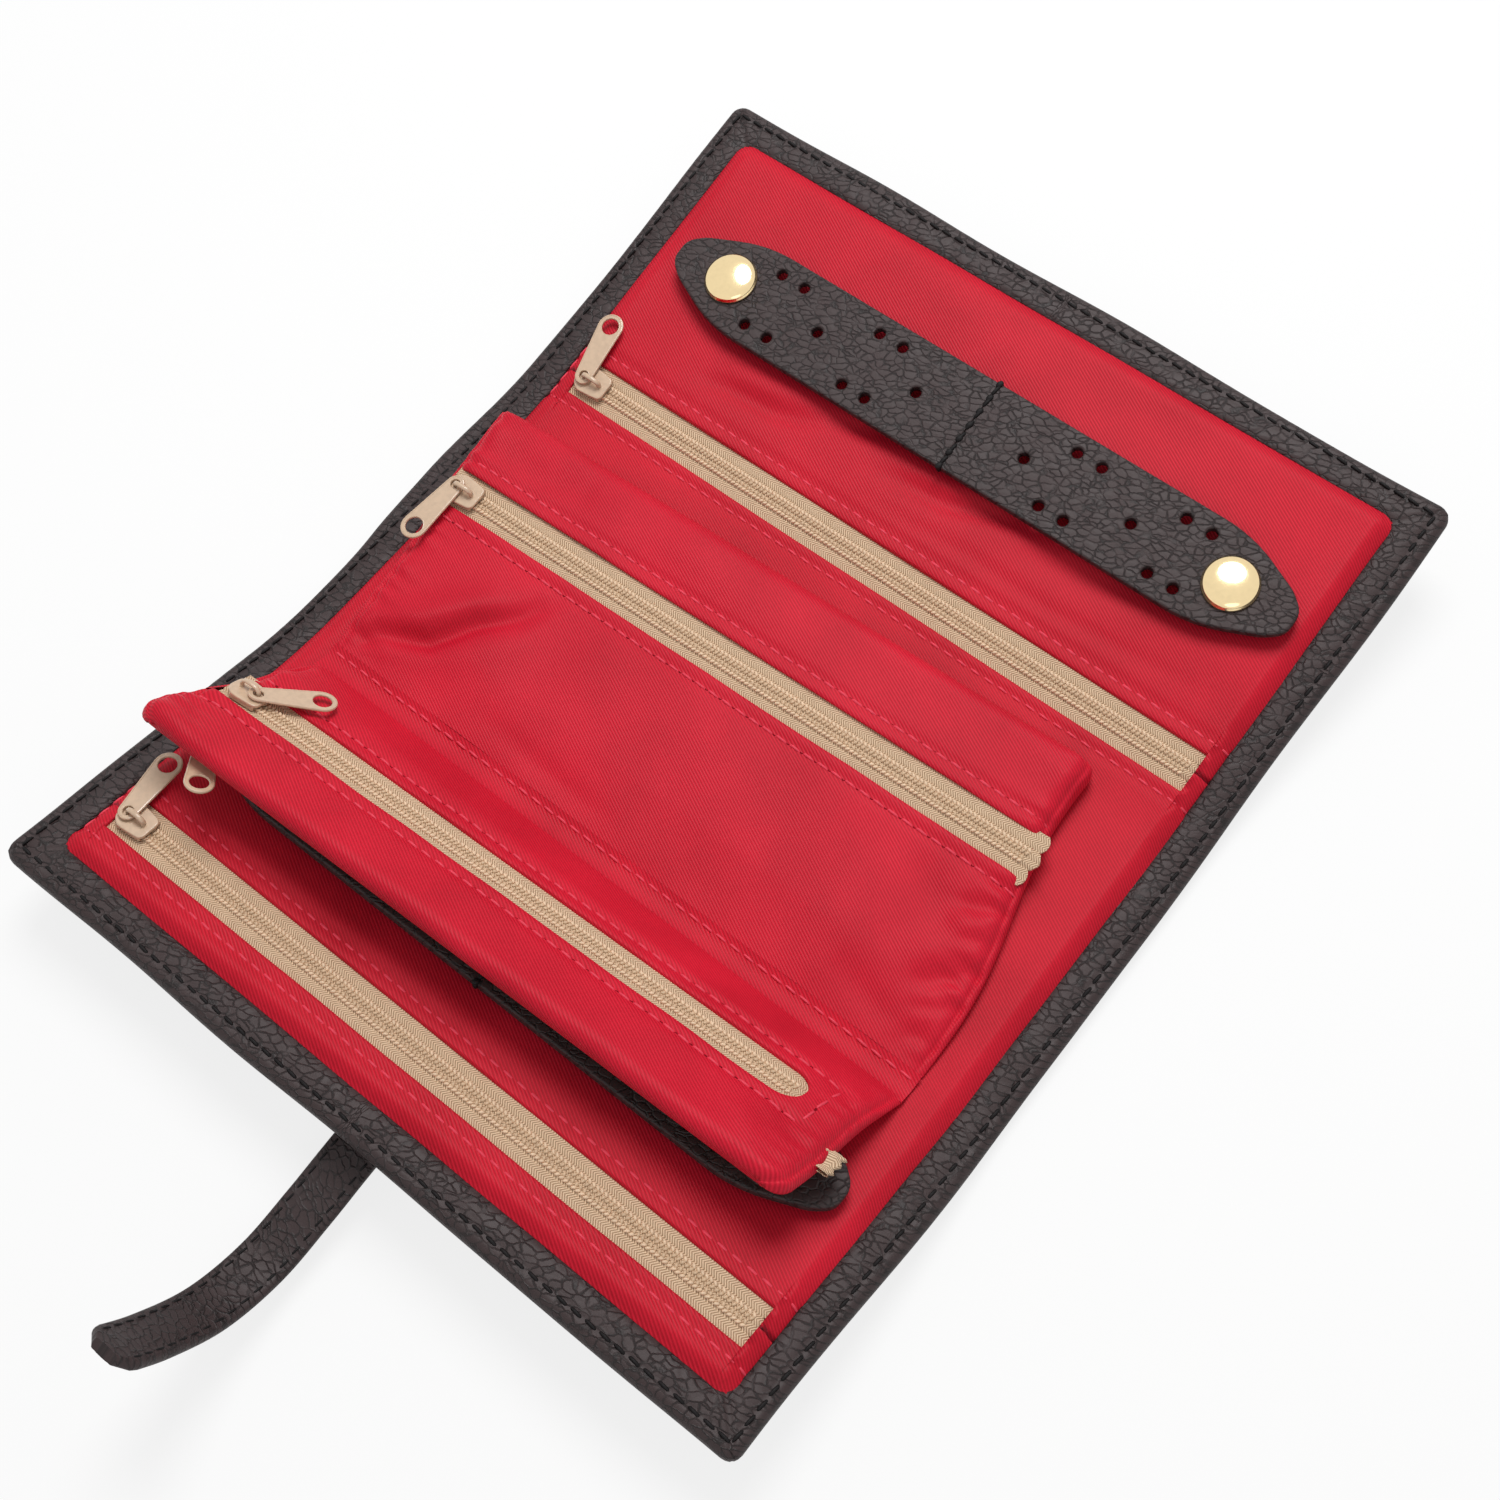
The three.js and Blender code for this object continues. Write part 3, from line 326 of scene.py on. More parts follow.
class Form:
    """Collects points in millimetres, faces with a material each, and a flat place for each point."""

    def __init__(self):
        self.points, self.faces, self.slots, self.flat = [], [], [], []

    def add(self, points, faces, slot=0, flat=None):
        base = len(self.points)
        self.points.extend([list(p) for p in points])
        self.flat.extend([list(p[:2]) for p in (points if flat is None else flat)])
        self.faces.extend([tuple(base + i for i in face) for face in faces])
        self.slots.extend([slot] * len(faces))

    def grid(self, points, flat, closed=False):
        points = np.asarray(points)
        faces = quads(*points.shape[:2], closed)
        self.add(points.reshape(-1, 3).tolist(), faces, flat=np.asarray(flat).reshape(-1, 2).tolist())

    def make(self, name, materials=(), merge=0.0):
        mesh = smooth_mesh(name, (np.array(self.points) * MM).tolist(), self.faces, materials, self.slots)
        index = np.zeros(len(mesh.loops), int)
        mesh.loops.foreach_get("vertex_index", index)
        layer = mesh.uv_layers.new(name="flat")
        layer.data.foreach_set("uv", (np.array(self.flat)[index] * MM).ravel())
        made = add_object(name, mesh)
        if merge:
            made.modifiers.new("weld", "WELD").merge_threshold = merge * MM
            mesh = evaluated_mesh(made)
            made.modifiers.clear()
            made.data = mesh
        return made


def smoothstep(low, high, value):
    t = np.clip((np.asarray(value, float) - low) / (high - low), 0, 1)
    return t * t * (3 - 2 * t)


def waves(x, y, size, seed):
    """Smooth unevenness between about -1 and 1, with bumps of about that size."""
    own = np.random.default_rng(seed)
    total = 0
    for _ in range(6):
        angle, phase = own.uniform(0, math.tau, 2)
        pitch = size * own.uniform(0.7, 1.6)
        total = total + np.sin((x * math.cos(angle) + y * math.sin(angle)) * math.tau / pitch + phase)
    return total / 3.2


def crease(x, y, path, width, height):
    """A wrinkle along a path of points that fades at its ends. A negative height makes a hollow."""
    path = np.asarray(path, float)
    x, y = np.broadcast_arrays(np.asarray(x, float), np.asarray(y, float))
    nearest, along, run = np.full(x.shape, 1e9), np.zeros(x.shape), 0.0
    for p, q in zip(path, path[1:]):
        step = q - p
        length = math.hypot(*step)
        part = np.clip(((x - p[0]) * step[0] + (y - p[1]) * step[1]) / length**2, 0, 1)
        away = np.hypot(x - p[0] - part * step[0], y - p[1] - part * step[1])
        along = np.where(away < nearest, run + part * length, along)
        nearest = np.minimum(nearest, away)
        run += length
    fade = np.sin(math.pi * np.clip(along / run, 0.02, 0.98)) ** 0.7
    return height * fade * np.exp(-((nearest / width) ** 2))


def run_along(points):
    """The distance from the first point of a polyline to each of its points."""
    return np.concatenate([[0], np.cumsum(np.linalg.norm(np.diff(points, axis=0), axis=1))])


# The open cover. s runs along the underside of the cover, h is the height above it
HINGE_GAP = 0.25
BEND_REACH = 7


class Fold:
    """A flap's fold line (y, z), its rise in degrees, its side and where the base under it ends."""

    def __init__(self, y, z, rise, side, base_end):
        self.y, self.z, self.side, self.base_end = y, z, side, base_end
        self.angle = side * math.radians(rise)
        self.gap = abs(self.open_point(y + side * HINGE_GAP, 0)[0] - base_end) - 2 * HINGE_GAP

    def open_point(self, y, z):
        dy, dz = y - self.y, z - self.z
        return (
            self.y + dy * math.cos(self.angle) - dz * math.sin(self.angle),
            self.z + dy * math.sin(self.angle) + dz * math.cos(self.angle),
        )

    def s(self, distance):
        """The s of a place on the flap at a distance from the fold line in the flat case."""
        return self.y + self.side * (distance + self.gap)


INNER = Fold(32, 13.5, 11.8, 1, 31.75)
OUTER = Fold(-42, 26.5, 12.6, -1, -41.75)
HALF_WIDTH = 95
INNER_END = INNER.s(86.5)
OUTER_END = OUTER.s(73.8)
MIDDLE = -5.0
HEM = 8.4


def lay(s, h):
    """Rest-pose (y, z) of places (s, h) on the cover."""
    s, h = np.broadcast_arrays(np.asarray(s, float), np.asarray(h, float))
    y, z = s.copy(), np.zeros_like(s)
    ny, nz = np.zeros_like(s), np.ones_like(s)
    for fold in (INNER, OUTER):
        start = fold.base_end - fold.side * BEND_REACH
        stop = fold.s(BEND_REACH + HINGE_GAP)
        length = abs(stop - start)
        p0 = np.array([start, 0.0])
        p1 = np.array(fold.open_point(fold.y + fold.side * (BEND_REACH + HINGE_GAP), 0))
        t0 = np.array([fold.side, 0.0])
        t1 = np.array([fold.side * math.cos(fold.angle), fold.side * math.sin(fold.angle)])
        t = np.clip((s - start) * fold.side / length, 0, 1)
        t3, t2 = t**3, t**2
        curve = lambda i: (
            (2 * t3 - 3 * t2 + 1) * p0[i]
            + (t3 - 2 * t2 + t) * length * t0[i]
            + (3 * t2 - 2 * t3) * p1[i]
            + (t3 - t2) * length * t1[i]
        )
        beyond = np.maximum((s - stop) * fold.side, 0)
        inside = (s - start) * fold.side > 0
        turn = smoothstep(0, 1, t) * abs(fold.angle)
        y = np.where(inside, curve(0) + beyond * t1[0], y)
        z = np.where(inside, curve(1) + beyond * t1[1], z)
        ny = np.where(inside, -fold.side * np.sin(turn), ny)
        nz = np.where(inside, np.cos(turn), nz)
    return y + ny * h, z + nz * h


def placed(x, s, h):
    return stack(x, *lay(s, h))


def stations(low, high, pitch):
    return np.linspace(low, high, max(2, int(round(abs(high - low) / pitch)) + 1))


# Stitches are short thread bows that dip into the cloth at both ends: share of the length, size, depth
STITCH_RINGS = ((0, 0.45, 0.9), (0.14, 0.9, 0.15), (0.5, 1, 0), (0.86, 0.9, 0.15), (1, 0.45, 0.9))
STITCH_SIDES = 6
RED_STITCH = dict(pitch=3.5, share=0.8, radius=0.32, slot=1)
HEM_STITCH = dict(pitch=3.4, share=0.78, radius=0.36, slot=1)
CLOSING_STITCH = dict(pitch=3.2, share=0.72, radius=0.25, slot=1)
STRAP_STITCH = dict(pitch=3.2, share=0.86, radius=0.42, slot=0, lean=0.22)


def stitch(form, start, end, radius, slot, normal):
    start, end, normal = Vector(start), Vector(end), Vector(normal)
    along = (end - start).normalized()
    across = along.cross(normal).normalized()
    length = (end - start).length
    points = []
    for t, size, drop in STITCH_RINGS:
        centre = start + along * length * t - normal * radius * drop
        for a in around(STITCH_SIDES):
            points.append(centre + (across * math.cos(a) + normal * math.sin(a)) * radius * size)
    form.add(points, quads(len(STITCH_RINGS), STITCH_SIDES, closed=True), slot)


NEEDLE_SIDES = 8
NEEDLE_HALF_LENGTH, NEEDLE_HALF_WIDTH, NEEDLE_DEPTH, NEEDLE_MIDDLE = 0.38, 0.27, 0.15, 0.03


def shaded_needle_hole(form, centre, along, normal, slot):
    """A small dent that the thread goes down into, coloured dark red as painted shade inside the hole."""
    centre, along, normal = Vector(centre), Vector(along).normalized(), Vector(normal).normalized()
    across = along.cross(normal)
    ring = [
        centre + along * math.cos(a) * NEEDLE_HALF_LENGTH + across * math.sin(a) * NEEDLE_HALF_WIDTH
        for a in around(NEEDLE_SIDES)
    ]
    points = [p - normal * NEEDLE_DEPTH for p in ring] + ring + [centre - normal * NEEDLE_MIDDLE]
    faces = quads(2, NEEDLE_SIDES, closed=True)
    faces += [(a, b, 2 * NEEDLE_SIDES) for _, _, b, a in faces]
    form.add(points, faces, slot)


def stitch_row(form, points, normals, pitch, share, radius, slot, hole_shade_slot=None, lean=0.12):
    """Stitches along a polyline of points, with the cloth's normals there, or one, and a slight lean."""
    points = np.asarray(points, float)
    normals = np.broadcast_to(np.asarray(normals, float), points.shape)
    run = run_along(points)
    count = max(1, int(run[-1] / pitch))
    step = run[-1] / count
    at = lambda d, data: np.array([np.interp(d, run, data[:, i]) for i in range(3)])
    for k in range(count):
        first = step * (k + (1 - share) / 2)
        second = first + step * share
        normal = at((first + second) / 2, normals)
        normal /= np.linalg.norm(normal)
        start, stop = at(first, points), at(second, points)
        across = np.cross(normal, (stop - start) / np.linalg.norm(stop - start)) * lean
        stitch(form, start + across, stop - across, radius, slot, normal)
        # Each needle hole is a small dent coloured with painted shade
        if hole_shade_slot is not None and k:
            shaded_needle_hole(form, at(step * k, points) - normal * 0.05, stop - start, normal, hole_shade_slot)


def cover_normal(s):
    (y0, z0), (y1, z1) = lay(s, 0.0), lay(s, 1.0)
    return stack(0.0, y1 - y0, z1 - z0)


# Leather cover, each half from the middle of the base panel to its free edge. The profile of its hem is
# (inset, height), from where the hem ends on top, round the edge, to the underside
HEM_PROFILE = [
    (HEM + 0.1, 3.5), (HEM, 4.3), (HEM - 0.35, 4.7), (6.6, 4.85), (4.6, 4.8), (3.4, 4.6), (2.8, 4.42),
    (2.2, 4.55), (1.3, 4.5), (0.6, 4.0), (0.12, 3.2), (0.0, 2.4), (0.12, 1.5), (0.6, 0.6), (1.4, 0.1),
    (2.4, 0.0),
]
COVER_PITCH = 1.0
HEM_STITCH_INSET, HEM_STITCH_HEIGHT, HEM_END_STEPS = 2.8, 4.62, 92


def gathers(run, seed):
    """Small puckers across the turned hem, stronger here and there."""
    own = np.random.default_rng(seed)
    total = 0
    for pitch in (2.6, 3.4, 4.3, 6.1):
        total = total + np.sin(run * math.tau / pitch + own.uniform(0, 6) + np.sin(run / 9) * 1.5)
    return total / 4 * (0.6 + 0.4 * np.sin(run / 13 + seed))


def cover_half(name, fold, end):
    form = Form()
    side, length = fold.side, abs(end - MIDDLE)
    along = stations(0, length, COVER_PITCH)
    across = stations(-HALF_WIDTH, HALF_WIDTH, COVER_PITCH)[1:-1]
    run = np.concatenate([along, length + HALF_WIDTH + across, 2 * (length + HALF_WIDTH) - along[::-1]])
    rows, flats = [], []
    for inset, height in HEM_PROFILE:
        far, width = length - inset, HALF_WIDTH - inset
        at_left, at_right = np.full(len(along), -width), np.full(len(along), width)
        x = np.concatenate([at_left, across * width / HALF_WIDTH, at_right])
        d = np.concatenate([along * (far / length), np.full(len(across), far), along[::-1] * (far / length)])
        corner = np.hypot(np.abs(x) - width, d - far)
        apart = smoothstep(0, 14, d)
        fade = 1 - inset / HEM
        outward = waves(x, d, 46, 3 + side) * 0.45 * fade * apart
        outward = outward + 1.6 * np.exp(-(((MIDDLE + side * d - 8) / 22) ** 2)) * (x < 0) * fade
        band = float(smoothstep(2.9, 4.4, inset) * (1 - smoothstep(7.6, 8.3, inset)))
        lift = (waves(x, d, 30, 11 + side) * 0.15 + gathers(run, 5 + side) * (0.05 + 0.17 * band)) * apart
        lift = lift - np.exp(-((corner / 0.7) ** 2)) * 0.5 * (0.4 < inset < HEM)
        radius = max(3.2 - inset, 0.7, 0.9 * (inset - 5))
        in_x, in_d = np.abs(x) - (width - radius), d - (far - radius)
        draw = np.where((in_x > 0) & (in_d > 0), radius / np.maximum(np.hypot(in_x, in_d), radius), 1.0)
        at_side, at_end = np.abs(x) > width - 0.01, d > far - 0.01
        x = np.sign(x) * (width - radius + in_x * draw + outward * at_side)
        d = far - radius + in_d * draw + outward * at_end
        s = MIDDLE + side * d
        rows.append(placed(x, s, height + (lift if height > 2 else 0)))
        flats.append(stack(x + np.sign(x) * height * 0.7, s + height * 0.7))
    form.grid(rows, flats)
    under_x = np.concatenate([[-HALF_WIDTH], across, [HALF_WIDTH]]) * width / HALF_WIDTH
    x, s = np.meshgrid(under_x, MIDDLE + side * (along * far / length))
    form.grid(placed(x, s, 0), stack(x, s))
    reach, half = length - HEM_STITCH_INSET, HALF_WIDTH - HEM_STITCH_INSET
    for x, d in (
        (-half, stations(0, reach, 2)),
        (np.linspace(-half, half, HEM_END_STEPS), reach),
        (half, stations(reach, 0, 2)),
    ):
        s = MIDDLE + side * d
        stitch_row(form, placed(x, s, HEM_STITCH_HEIGHT), cover_normal(s), **HEM_STITCH)
    made = form.make(name, [LEATHER, BLACK_THREAD])
    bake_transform(made)
    return made


inner_cover = cover_half("cover_inner", INNER, INNER_END)
outer_cover = cover_half("cover_outer", OUTER, OUTER_END)
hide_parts("base_leather", "inner_flap_leather", "inner_fold_leather")
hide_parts("base_leather", "outer_flap_leather", "outer_fold_leather")


# Lining with a zip window: the rows below and above the window follow its edge, then turn down in a lip
LINING_INSET = HEM - 1.2
LINING_HEIGHT, LINING_EDGE_HEIGHT = 6.7, 3.9
LINING_PITCH = 1.5
LINING_CORNER = 11.5
ZIP_HALF = 4.6
STITCH_FROM_ZIP = 7.5
STITCH_FROM_END = 4
STITCH_GROOVE = 0.55
WINDOW_FROM, WINDOW_TO = -82.3, 83.3
WINDOW_STEP = 0.04
WINDOW_LIP = ((0.3, 0.12), (0.05, 0.5), (0.0, 1.1))


def lining_height(x, d, length, seed, creases):
    from_side, from_end = HALF_WIDTH - np.abs(x), length - d
    over = np.maximum(LINING_CORNER - from_side, 0), np.maximum(LINING_CORNER - from_end, 0)
    straight = np.minimum(from_side, from_end)
    inset = np.where(np.maximum(*over) > 0, LINING_CORNER - np.hypot(*over), straight)
    rise = smoothstep(LINING_INSET, HEM + 2.6, inset)
    height = LINING_EDGE_HEIGHT + (LINING_HEIGHT - LINING_EDGE_HEIGHT) * rise
    inner = smoothstep(HEM, HEM + 9, inset)
    for path, width, depth in creases:
        height = height + crease(x, d, path, width, depth) * inner
    return height + waves(x, d, 38, seed) * 0.25 * inner * smoothstep(0, 14, d)


def groove(away):
    """The dent that a row of stitches makes, at a distance from it."""
    return STITCH_GROOVE * np.exp(-((away / 0.9) ** 2))


def lining_half(name, fold, end, zip_distance, seed, creases):
    form = Form()
    side, length = fold.side, abs(end - MIDDLE)
    width = HALF_WIDTH - LINING_INSET
    at_window = [edge + step for edge in (WINDOW_FROM, WINDOW_TO) for step in (-WINDOW_STEP, WINDOW_STEP)]
    xs = np.unique(np.concatenate([stations(-width, width, LINING_PITCH), at_window]))
    inside = (xs > WINDOW_FROM) & (xs < WINDOW_TO)
    zip_d = abs(fold.s(zip_distance) - MIDDLE)
    rows_at = zip_d - STITCH_FROM_ZIP, zip_d + STITCH_FROM_ZIP
    walls = WINDOW_FROM - STITCH_FROM_END, WINDOW_TO + STITCH_FROM_END

    def surface(x, d):
        near = (x > walls[0] - 2) & (x < walls[1] + 2)
        height = lining_height(x, d, length, seed, creases)
        height = height - groove(np.abs(np.abs(d - zip_d) - STITCH_FROM_ZIP)) * near
        for wall in walls:
            height = height - groove(np.abs(x - wall)) * (np.abs(d - zip_d) < STITCH_FROM_ZIP)
        return height

    for part, outer in ((-1, 0.0), (1, length - LINING_INSET)):
        edge = zip_d + part * ZIP_HALF * inside
        span = edge + part * 0.5 * inside - outer
        rows = [(outer + t * span, 0.0) for t in stations(0, 1, LINING_PITCH / abs(zip_d - outer))]
        rows += [(edge + part * away * inside, drop) for away, drop in WINDOW_LIP]
        form.grid(
            [placed(xs, MIDDLE + side * d, surface(xs, d) - drop * inside) for d, drop in rows],
            [stack(xs, MIDDLE + side * d - part * side * drop) for d, drop in rows],
        )
    seams = [(stations(*walls, 2), at) for at in rows_at]
    seams += [(wall, stations(*rows_at, 2)) for wall in walls]
    for x, d in seams:
        s = MIDDLE + side * d
        stitch_row(form, placed(x, s, surface(x, d) + 0.1), cover_normal(s), **RED_STITCH, hole_shade_slot=2)
    made = form.make(name, [LINING, RED_THREAD, NEEDLE_HOLE_SHADE])
    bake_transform(made)
    return made


# Wrinkles beside the earring strap of the inner flap: places (x, distance from the fold), width and height
STRAP_CREASES = [
    ([(-60, 24), (-50, 26), (-37, 27), (-26, 31)], 1.9, -1.0),
    ([(-55, 29), (-42, 31), (-30, 35)], 2.6, 0.6),
    ([(-28, 32), (-20, 34), (-8, 38)], 2.2, -1.0),
    ([(-12, 28), (-4, 29), (6, 30), (22, 35), (32, 36)], 2.1, -1.2),
    ([(-8, 32), (6, 34), (20, 40)], 2.4, 0.6),
    ([(-10, 21.5), (0, 22), (18, 23), (39, 22.5), (74, 25)], 1.1, -0.5),
    ([(24, 30), (40, 32), (58, 36)], 2.6, -0.8),
]
inner_creases = [
    ([(x, INNER.s(distance) - MIDDLE) for x, distance in path], width, height)
    for path, width, height in STRAP_CREASES
]
inner_lining = lining_half("lining_inner", INNER, INNER_END, 10, 21, inner_creases)
outer_lining = lining_half("lining_outer", OUTER, OUTER_END, 52.7, 22, [])
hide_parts("base_lining", "inner_flap_lining")
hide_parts("base_lining", "outer_flap_lining")


# A moving body's own frame, from its joint
class Place:
    def __init__(self, origin, x_axis, z_axis):
        self.origin = Vector(origin)
        self.x = Vector(x_axis).normalized()
        self.z = Vector(z_axis).normalized()
        self.y = self.z.cross(self.x)

    def matrix(self, x=0.0, z=0.0):
        """From a place (x, 0, z) of its own to the scene."""
        turn = Matrix((self.x, self.y, self.z)).transposed().to_4x4()
        return Matrix.Translation(self.origin * MM) @ turn @ Matrix.Translation((x * MM, 0, z * MM))

    def points(self, local):
        return np.asarray(local, float) @ np.array([self.x, self.y, self.z]) + np.array(self.origin)


def joint_place(name):
    return Vector(joints[name]["pos_m"]) / MM


# Zips. Local x runs along the zip from its slider's middle, and z = 0 is the tape's middle plane
SLIDER_HALF = 4.2
BEAD_PITCH = 1.0
CROWN_X = 2.2


def zip_place(name, post):
    along = Vector(joints[name + "_slide"]["axis"])
    swing = name + "_swing"
    return Place(joint_place(swing) - along * post * CROWN_X, along, joints[swing]["axis"])


def bead(form, place, centre, lean, halves, slot, rings=5, sides=7):
    """A small oval bead whose long axis leans from across the zip towards along it."""
    half_length, half_width, half_height = halves
    points = []
    for i in range(rings + 1):
        t = math.pi * (i + 0.001) / (rings + 0.002)
        along = -math.cos(t) * half_length
        for a in around(sides):
            wide = math.sin(t) * math.cos(a) * half_width
            x = centre[0] + wide * math.cos(lean) + along * math.sin(lean)
            y = centre[1] + along * math.cos(lean) - wide * math.sin(lean)
            points.append((x, y, centre[2] + math.sin(t) * math.sin(a) * half_height))
    form.add(place.points(points).tolist(), quads(rings + 1, sides, closed=True), slot, points)


# Half of a zip across its middle, as (away from the middle, height), and the tape's underside
TAPE_SECTION = np.array([
    (0.0, 0.42), (0.25, 0.56), (1.7, 0.5), (1.9, 0.2), (2.05, 0.16), (2.35, 0.32),
    (2.7, 0.36), (3.4, 0.34), (4.1, 0.3), (4.8, 0.27), (5.4, 0.26), (6.0, 0.25),
])
TAPE_UNDER = -0.25
COIL_HALF = 1.95


def zip_tapes(name, body, place, start, stop, bead_start, bead_stop):
    form = Form()
    away, height = TAPE_SECTION.T
    lobes = np.where(away < COIL_HALF, 0.5 - (away / COIL_HALF) ** 2, -0.9 * ((away - 4) / 2) ** 2)
    xs = np.tile(stations(start, stop, 2.0), (len(away), 1))
    xs[:, -1] += lobes
    for side in (-1, 1):
        top, under = (stack(xs, side * away[:, None], z) for z in (height[:, None], TAPE_UNDER))
        form.grid(place.points(top), top[:, :, :2])
        form.grid(place.points(under)[::-1], top[::-1, :, :2])
        ends = np.stack([top[:, -1], under[:, -1]])
        form.grid(place.points(ends), ends[:, :, 1:])
    for side in (-1, 1):
        for k in range(int((bead_stop - bead_start) / BEAD_PITCH)):
            x = bead_start + (k + 0.5 + 0.25 * side) * BEAD_PITCH
            bead(form, place, (x, side * 0.6, 0.62), 0.45 * side, (0.56, 0.4, 0.34), 1)
            bead(form, place, (x, side * 1.42, 0.6), -0.9 * side, (0.6, 0.36, 0.38), 2)
    made = form.make(name + "_tapes", [TAPE, TEETH, CORD])
    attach(made, body)
    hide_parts(name + "_tape_far", name + "_tape_near")


def thinned(outline, least):
    """The closed outline without the points that lie too near the one before."""
    return [p for i, p in enumerate(outline) if math.dist(p, outline[i - 1]) > least]


def flat_curve(outlines, half_thickness, bevel, seat):
    """A filled outline with holes, thick and rounded at its edges, about z = 0 of its seat."""
    data = bpy.data.curves.new("shape", "CURVE")
    data.dimensions = "2D"
    data.fill_mode = "BOTH"
    data.extrude = (half_thickness - bevel) * MM
    data.bevel_depth = bevel * MM
    data.bevel_resolution = 3
    data.offset = -bevel * MM
    for outline in outlines:
        outline = thinned(outline, 0.04)
        spline = data.splines.new("POLY")
        spline.points.add(len(outline) - 1)
        for point, (x, y) in zip(spline.points, outline):
            point.co = (x * MM, y * MM, 0, 1)
        spline.use_cyclic_u = True
    shape = add_object("shape", data)
    made = add_object("plate", evaluated_mesh(shape))
    bpy.data.objects.remove(shape)
    made.matrix_world = seat
    return made


def arc(cx, cy, radius, start, stop, count):
    angles = np.radians(np.linspace(start, stop, count))
    return [(cx + radius * math.cos(a), cy + radius * math.sin(a)) for a in angles]


def corner_curve(before, corner, after, reach, count):
    """A curve round a corner that starts and ends at a reach from it."""
    before, corner, after = (np.array(p, float) for p in (before, corner, after))
    p, q = (corner + (other - corner) / math.dist(other, corner) * reach for other in (before, after))
    return [tuple((1 - t) ** 2 * p + 2 * t * (1 - t) * corner + t * t * q) for t in np.linspace(0, 1, count)]


def rounded(points, radius):
    """The polygon with its corners rounded."""
    out = []
    for i, corner in enumerate(points):
        before, after = points[i - 1], points[(i + 1) % len(points)]
        reach = min(radius, 0.45 * math.dist(before, corner), 0.45 * math.dist(after, corner))
        out += corner_curve(before, corner, after, reach, 5)
    return out


def join_meshes(name, pieces, material):
    """Joins objects, each already in place, into one mesh object."""
    bpy.context.view_layer.update()
    points, faces = [], []
    for piece in pieces:
        base = len(points)
        points += [tuple(piece.matrix_world @ v.co) for v in piece.data.vertices]
        faces += [tuple(base + i for i in polygon.vertices) for polygon in piece.data.polygons]
        bpy.data.objects.remove(piece)
    mesh = smooth_mesh(name, points, faces, [material], [0] * len(faces))
    mesh.set_sharp_from_angle(angle=math.radians(50))
    return add_object(name, mesh)


# Slider: a plate above and below the teeth, with flanges, a post and a crown that the pull hangs in
SLIDER_SIDE = [(-4.2, -1.9), (-2.3, -3.5), (1.3, -3.2), (4.2, -2.8)]
SLIDER_PLATE = SLIDER_SIDE + [(x, -y) for x, y in reversed(SLIDER_SIDE)]
FLANGE = [(-2.6, 2.75), (3.6, 2.35), (3.6, 2.85), (-2.6, 3.35)]
POST = [(-3.9, -0.25), (0.2, -0.25), (0.2, 0.25), (-3.9, 0.25)]
CROWN_SIDES = 10
CROWN_HALF_THICKNESS, CROWN_HALF_WIDTH = 0.42, 0.6


def make_crown(seat):
    """A bow of oval section in the x-z plane."""
    half = [(-CROWN_X, 1.9), (-CROWN_X - 0.1, 3.1), (-CROWN_X + 0.25, 3.75), (-CROWN_X + 0.9, 4.1)]
    path = np.array(half + [(0, 4.16)] + [(-x, z) for x, z in reversed(half)])
    angles = np.array(around(CROWN_SIDES))
    rings = []
    for i, (x, z) in enumerate(path):
        direction = path[min(i + 1, len(path) - 1)] - path[max(i - 1, 0)]
        direction /= np.linalg.norm(direction)
        out, along_y = CROWN_HALF_THICKNESS * np.cos(angles), CROWN_HALF_WIDTH * np.sin(angles)
        rings.append(stack(x - direction[1] * out, along_y, z + direction[0] * out))
    form = Form()
    form.grid(rings, np.array(rings)[:, :, :2], closed=True)
    made = form.make("crown")
    made.matrix_world = seat
    return made


def make_slider(name, place):
    pieces = [
        flat_curve([rounded(outline, radius)], half, bevel, place.matrix(z=z))
        for outline, radius, half, bevel, z in (
            (SLIDER_PLATE, 1.6, 0.42, 0.3, 1.8),
            (SLIDER_PLATE, 1.6, 0.4, 0.3, -1.4),
            ([(x, -y) for x, y in FLANGE], 0.25, 0.5, 0.1, 1.15),
            (FLANGE, 0.25, 0.5, 0.1, 1.15),
            (POST, 0.2, 1.6, 0.05, 0.2),
        )
    ]
    made = join_meshes(name + "_slider_body", pieces + [make_crown(place.matrix())], PAINT)
    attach(made, name + "_runner")
    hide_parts(name + "_slider")


RIM_SIDES = 7


def rim(outline, radius, seat):
    """A round bead of metal along a closed outline."""
    path = np.array(thinned(outline, 0.02))
    ahead = np.roll(path, -1, axis=0) - np.roll(path, 1, axis=0)
    ahead /= np.linalg.norm(ahead, axis=1)[:, None]
    out = np.stack([ahead[:, 1], -ahead[:, 0]], axis=1)
    rows = []
    for a in around(RIM_SIDES):
        place = path + out * radius * math.cos(a)
        rows.append(stack(place[:, 0], place[:, 1], radius * 1.2 * math.sin(a)))
    rows = np.array(rows + rows[:1])
    ring = Form()
    ring.grid(rows, rows[:, :, :2], closed=True)
    made = ring.make("rim")
    made.matrix_world = seat
    return made


PULL_LENGTH, PULL_TOP_HALF, PULL_ROOT_HALF = 16.0, 3.0, 2.0
PULL_HEIGHT = 2.9
EYE_RADIUS, EYE_RIM_RADIUS = 1.15, 1.35
GRIP_RADIUS, GRIP_RIM_RADIUS = 2.05, 2.22
EDGE_THICKNESS, RIM_THICKNESS = 0.3, 0.26


